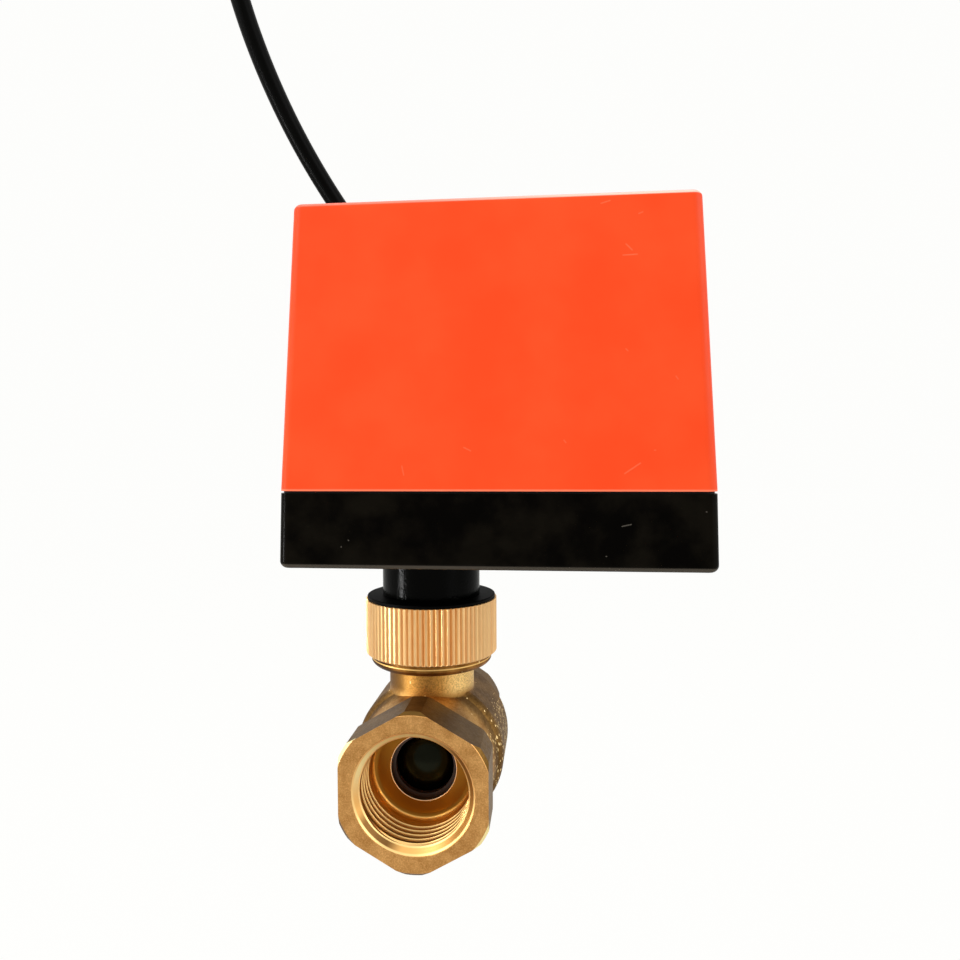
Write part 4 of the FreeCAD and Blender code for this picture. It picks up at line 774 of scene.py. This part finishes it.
plasticFinishes = {
    "sealBlack": {"color": (8, 8, 7), "lighter": (12, 12, 11), "roughness": 0.6, "shine": 0.15},
    "seatBrown": {"color": (52, 28, 12), "lighter": (66, 38, 20), "roughness": 0.42},
    "glossBlack": {"color": (2, 2, 2), "lighter": (4, 4, 3), "roughness": 0.5, "grain": 1.2,
                   "depth": 0.002, "swing": 0.04, "shine": 0.04},
    "trayBlack": {"color": (2, 1, 0), "lighter": (15, 12, 7), "roughness": 0.24, "depth": 0.003,
                  "cloud": 0.12, "shine": 0.03, "scratches": trayScratches, "highlightLines": trayHighlightLines},
    "neckBlack": {"color": (1, 1, 0), "lighter": (2, 2, 1), "roughness": 0.14, "grain": 2.0,
                  "depth": 0.06, "swing": 0.03, "shine": 0.05},
    "coverOrange": {"color": (251, 74, 28), "lighter": (253, 82, 36), "roughness": 0.36,
                    "grain": 2.2, "depth": 0.005, "cloud": 0.045, "shine": 0.14,
                    "scratches": coverScratches, "highlightLines": coverHighlightLines},
    "gearWhite": {"color": (232, 228, 216), "lighter": (240, 236, 226), "roughness": 0.42},
    "boardGreen": {"color": (22, 92, 52), "lighter": (30, 108, 62), "roughness": 0.32,
                   "grain": 1.2, "cloud": 0.4},
    "terminalGreen": {"color": (40, 140, 70), "lighter": (48, 152, 80), "roughness": 0.4},
    "relayBlue": {"color": (28, 84, 168), "lighter": (34, 94, 180), "roughness": 0.35},
    "reliefRubber": {"color": (20, 19, 18), "lighter": (28, 27, 25), "roughness": 0.55,
                     "depth": 0.01},
    "leadBlack": {"color": (2, 2, 1), "lighter": (4, 4, 3), "roughness": 0.34, "grain": 1.6,
                  "shine": 0.05},
}
metalFinishes = {
    "edgeBrass": {"color": (255, 226, 190), "darker": (250, 206, 160), "roughness": 0.22},
    # painted shade: the chrome ball is coloured near black for the dark it reflects deep in the bore
    "shadedBallChrome": {"color": (34, 35, 26), "darker": (18, 19, 13), "roughness": 0.2,
                   "depth": 0.0008, "swing": 0.05},
    "steelBright": {"color": (176, 178, 180), "darker": (150, 152, 155), "roughness": 0.28},
    "zincPlate": {"color": (188, 186, 176), "darker": (160, 158, 146), "roughness": 0.36},
}
bushBrass = {
    "color": (230, 180, 112),
    "darker": (200, 146, 84),
    "roughness": (0.25, 0.39),
    "lines": 5.0,
    "drift": 0.1,
    "depth": 0.01,
    "stains": (0.3, 4.0, 0.6, 0.3, 0.7),
    "shares": (0.5, 0.5),      # of rings and stains in its tone
}

materials = {
    "valveBrass": makeValveBrass("valveBrass", valveBrass),
    "nutBrass": makeKnurlBrass("nutBrass", nutBrass),
    "bushBrass": makeTurnedMetal("bushBrass", bushBrass),
    "coreWires": makeCoreColors("coreWires", coreColors),
}
for name, spec in plasticFinishes.items():
    materials[name] = makePlastic(name, **spec)
for name, spec in metalFinishes.items():
    materials[name] = makeMetal(name, **spec)

nodeFinish = {
    "valveBrass": ["valve_body", "end_cap"],
    "nutBrass": ["union_nut"],
    "bushBrass": ["lower_bush", "upper_bush"],
    "sealBlack": ["cap_seal", "stem_rings", "gasket"],
    "seatBrown": ["seat_front", "seat_rear", "stem_washer"],
    "shadedBallChrome": ["ball"],
    "glossBlack": ["nut_washer", "capacitor"],
    "trayBlack": ["tray", "closed_switch", "open_switch", "cord_clamp"],
    "neckBlack": ["mounting_neck"],
    "steelBright": ["valve_stem", "drive_shaft", "idler_axle", "motor_pinion", "shaft_clip",
                    "closed_lever", "open_lever", "plate_pillars", "board_pillars", "motor"],
    "zincPlate": ["lower_plate", "upper_plate", "cover_screws", "neck_screws", "pillar_screws",
                  "motor_screws", "switch_screws", "board_screws", "clamp_screws", "switch_spacer"],
    "coverOrange": ["cover"],
    "gearWhite": ["output_gear", "idler_gear", "closed_cam", "open_cam", "cam_spacer"],
    "boardGreen": ["circuit_board"],
    "terminalGreen": ["terminal_block"],
    "relayBlue": ["relay"],
    "reliefRubber": ["strain_relief"],
    "leadBlack": ["cord_tail"],
    "coreWires": ["cord_cores"],
}

for finish, names in nodeFinish.items():
    for name in names:
        slots = frame["nodes"][name].data.materials
        for index in range(len(slots)):
            slots[index] = materials[finish]
lead.data.materials.append(materials["leadBlack"])
print("materials assigned")


# port threads: radii in millimetres from the bore's axis, places along it from the mouth

portThread = {
    "pitch": 1.814,
    "start": 0.02,
    "mouthRadius": 13.70,
    "leadInEnd": 1.64,         # a plain cone down to the crests
    "crestRadius": 12.06,
    "rootRadius": 13.20,
    "valleyWidth": 1.15,       # the groove's form across, before it is clipped and rounded
    "valleySlope": 3.6,
    "grooveStart": (1.9, 2.6),     # where the groove deepens, and where it runs out
    "grooveEnd": (10.3, 11.0),
    "coneStart": 11.0,
    "boreRadius": 12.19,
    "end": 11.58,
    "wallRadius": 13.245,      # the piece's outer side, just inside the solid's wall
    "wallStart": 0.46,
    "wallExtra": 0.01,         # wider than the crest at both ends
    "leastWall": 0.005,
    "around": 160,
    "along": 220,
    "startAngle": 3.28,        # radians, where a groove would start at the mouth
}


def gridFaces(rows, columns):
    # quads of a grid that closes both ways, faces outward
    a, b = np.meshgrid(np.arange(rows), np.arange(columns), indexing="ij")
    nextRow, nextColumn = (a + 1) % rows, (b + 1) % columns
    return np.stack([a * columns + b, a * columns + nextColumn, nextRow * columns + nextColumn,
                     nextRow * columns + b], axis=-1).reshape(-1, 4)


def makeMesh(name, points, faces, smooth=True):
    mesh = bpy.data.meshes.new(name)
    mesh.vertices.add(len(points))
    mesh.vertices.foreach_set("co", (np.asarray(points, float) * mm).astype(np.float32).ravel())
    faces = np.asarray(faces)
    mesh.loops.add(faces.size)
    mesh.loops.foreach_set("vertex_index", faces.ravel().astype(np.int32))
    mesh.polygons.add(len(faces))
    mesh.polygons.foreach_set("loop_start", (np.arange(len(faces)) * faces.shape[1]).astype(np.int32))
    mesh.polygons.foreach_set("use_smooth", np.full(len(faces), smooth))
    mesh.update(calc_edges=True)
    mesh.validate()
    piece = bpy.data.objects.new(name, mesh)
    bpy.context.scene.collection.objects.link(piece)
    return piece


def addPortPiece(name, grid, turned, finish):
    # turned puts the piece in the outlet, by half a turn about the stem's axis
    rows, columns = grid.shape[:2]
    points = grid.reshape(-1, 3)
    if turned:
        points = points * np.array([-1.0, -1.0, 1.0]) + np.array([0.0, valveLength, 0.0])
    piece = makeMesh(name, points, gridFaces(rows, columns))
    piece.data.materials.append(materials[finish])
    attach(piece, bodyName)


def makeThread(name, spec, turned):
    # radius = crest + groove depth times a rounded valley, which fades by its own place on the helix
    around = np.linspace(0.0, 2.0 * np.pi, spec["around"], endpoint=False)
    along = np.linspace(spec["start"], spec["end"], spec["along"])
    y, angle = np.meshgrid(along, around, indexing="ij")
    turns = y / spec["pitch"] - (angle - spec["startAngle"]) / (2.0 * np.pi)
    fromValley = np.abs(turns - np.round(turns))
    valleyPlace = y - (turns - np.round(turns)) * spec["pitch"]
    valley = np.clip(spec["valleyWidth"] - spec["valleySlope"] * fromValley, 0.0, 1.0)
    valley = valley * valley * (3.0 - 2.0 * valley)
    grown = np.interp(valleyPlace, spec["grooveStart"], (0.0, 1.0))
    left = np.interp(valleyPlace, spec["grooveEnd"], (1.0, 0.0))
    depth = (spec["rootRadius"] - spec["crestRadius"]) * valley * grown * left
    mouth, bore = spec["mouthRadius"], spec["boreRadius"]
    crest = np.interp(y, (0.0, spec["leadInEnd"], spec["coneStart"], spec["end"]),
                      (mouth, spec["crestRadius"], spec["crestRadius"], bore))
    wall = np.interp(y, (0.0, spec["wallStart"], spec["coneStart"], spec["end"]),
                     (mouth + spec["wallExtra"], spec["wallRadius"], spec["wallRadius"],
                      bore + spec["wallExtra"]))
    radius = np.minimum(crest + depth, wall - spec["leastWall"])
    inner = np.stack([radius * np.cos(angle), y, radius * np.sin(angle)], axis=-1)
    outer = np.stack([wall * np.cos(angle), y, wall * np.sin(angle)], axis=-1)
    addPortPiece(name, np.concatenate([inner, outer[::-1]], axis=0), turned, "valveBrass")


# edge of the waterway's hole: a thin ring of round section, in millimetres

holeEdge = {"radius": 7.82, "depth": 13.86, "section": 0.13, "around": 120, "sides": 12}


def makeHoleEdge(name, spec, turned):
    # radius = hole + section times cos b, and place along the bore = depth + section times sin b
    around = np.linspace(0.0, 2.0 * np.pi, spec["around"], endpoint=False)
    side = np.linspace(0.0, 2.0 * np.pi, spec["sides"], endpoint=False)
    a, b = np.meshgrid(around, side, indexing="ij")
    radius = spec["radius"] + spec["section"] * np.cos(b)
    place = spec["depth"] + spec["section"] * np.sin(b)
    grid = np.stack([radius * np.cos(a), place, radius * np.sin(a)], axis=-1)
    addPortPiece(name, grid, turned, "edgeBrass")


makeHoleEdge("inletHoleEdge", holeEdge, False)
makeHoleEdge("outletHoleEdge", holeEdge, True)
makeThread("inletThread", portThread, False)
makeThread("outletThread", portThread, True)
print("threads cut")


# floor, backdrop and light, in metres and watts

stageSetup = {
    "floorHeight": -0.12,
    "floorSize": 6.0,
    "floorFront": -0.40,       # none in front of this, where only reflections would see it
    "floorShade": (236, 236, 233),
    "floorRoughness": 0.8,
    "whiteShare": 0.97,        # how far the camera sees the floor as plain white
    "white": (1.0, 1.0, 0.985, 1.0),
    "backdrop": 0.985,         # brightness behind the floor, for the camera alone
    "fill": 0.55,              # soft light from all round
    "roomBright": 1.15,        # what reflections see beside and above the object
    "roomSides": (0.45, 0.85),     # how far sideways and up a direction points as it brightens
    "roomAbove": (0.3, 0.7),
    "roomDim": 0.75,
    "roomGap": 0.6,            # behind the camera
    "gapBack": (0.4, 0.8),         # how far back and up or down a direction points at its edges
    "gapHeight": (0.5, 0.8),
    "lamps": {
        "keyLamp": {"place": (-0.55, -0.38, 0.50), "size": 0.45, "power": 2.4},
        "rightLamp": {"place": (0.60, -0.22, 0.30), "size": 0.40, "power": 1.4},
        "topLamp": {"place": (0.05, 0.05, 0.85), "size": 0.60, "power": 2.2},
        "stripLamp": {"place": (-0.55, -0.23, -0.06), "size": 0.012, "tall": 0.2, "power": 1.5},
    },
    "aim": (0.015, 0.02, 0.06),    # the lamps point here
}


def makeFloor(spec):
    size = spec["floorSize"] / 2
    front = spec["floorFront"]
    corners = np.array([[-size, front], [size, front], [size, size], [-size, size]]) / mm
    height = spec["floorHeight"] / mm
    floor = makeMesh("floor", [(x, y, height) for x, y in corners], [[0, 1, 2, 3]], smooth=False)
    material = bpy.data.materials.new("paleFloor")
    material.use_nodes = True
    tree = material.node_tree
    shader = next(node for node in tree.nodes if node.type == "BSDF_PRINCIPLED")
    output = next(node for node in tree.nodes if node.type == "OUTPUT_MATERIAL")
    setShader(tree, shader, {"Base Color": paint(*spec["floorShade"]),
                             "Roughness": spec["floorRoughness"]})
    seen = addNode(tree, "ShaderNodeLightPath").outputs
    share = times(tree, seen["Is Camera Ray"], spec["whiteShare"])
    glow = addNode(tree, "ShaderNodeEmission", {"Color": spec["white"], "Strength": 1.0})
    mixed = addNode(tree, "ShaderNodeMixShader", {0: share, 1: shader.outputs[0], 2: glow.outputs[0]})
    feed(tree, output.inputs["Surface"], mixed.outputs[0])
    floor.data.materials.append(material)


def makeLamps(spec):
    for name, lamp in spec["lamps"].items():
        data = bpy.data.lights.new(name, "AREA")
        data.shape = "RECTANGLE"
        data.size = lamp["size"]
        data.size_y = lamp.get("tall", lamp["size"])
        data.energy = lamp["power"]
        light = bpy.data.objects.new(name, data)
        direction = Vector(spec["aim"]) - Vector(lamp["place"])
        light.matrix_world = (Matrix.Translation(Vector(lamp["place"]))
                              @ direction.to_track_quat("-Z", "Y").to_matrix().to_4x4())
        bpy.context.scene.collection.objects.link(light)


def makeWorld(spec):
    # white to the eye; to reflections a white room that is a little darker behind the camera
    world = bpy.data.worlds.new("studio")
    bpy.context.scene.world = world
    world.use_nodes = True
    tree = world.node_tree
    background = next(node for node in tree.nodes if node.type == "BACKGROUND")
    x, y, z = split(tree, addNode(tree, "ShaderNodeTexCoord").outputs["Generated"])
    sides = band(tree, calc(tree, "ABSOLUTE", x), *spec["roomSides"])
    above = band(tree, z, *spec["roomAbove"])
    bright = blendValue(tree, calc(tree, "MAXIMUM", sides, above), spec["roomDim"], spec["roomBright"])
    gap = times(tree, band(tree, times(tree, y, -1.0), *spec["gapBack"]),
                band(tree, calc(tree, "ABSOLUTE", z), *spec["gapHeight"], 1.0, 0.0))
    room = blendValue(tree, gap, bright, spec["roomGap"])
    seen = addNode(tree, "ShaderNodeLightPath").outputs
    shiny = calc(tree, "MAXIMUM", seen["Is Glossy Ray"], seen["Is Transmission Ray"])
    strength = blendValue(tree, shiny, spec["fill"], room)
    strength = blendValue(tree, seen["Is Camera Ray"], strength, spec["backdrop"])
    feed(tree, background.inputs["Color"], spec["white"])
    feed(tree, background.inputs["Strength"], strength)


makeFloor(stageSetup)
makeLamps(stageSetup)
makeWorld(stageSetup)
print("stage lit")
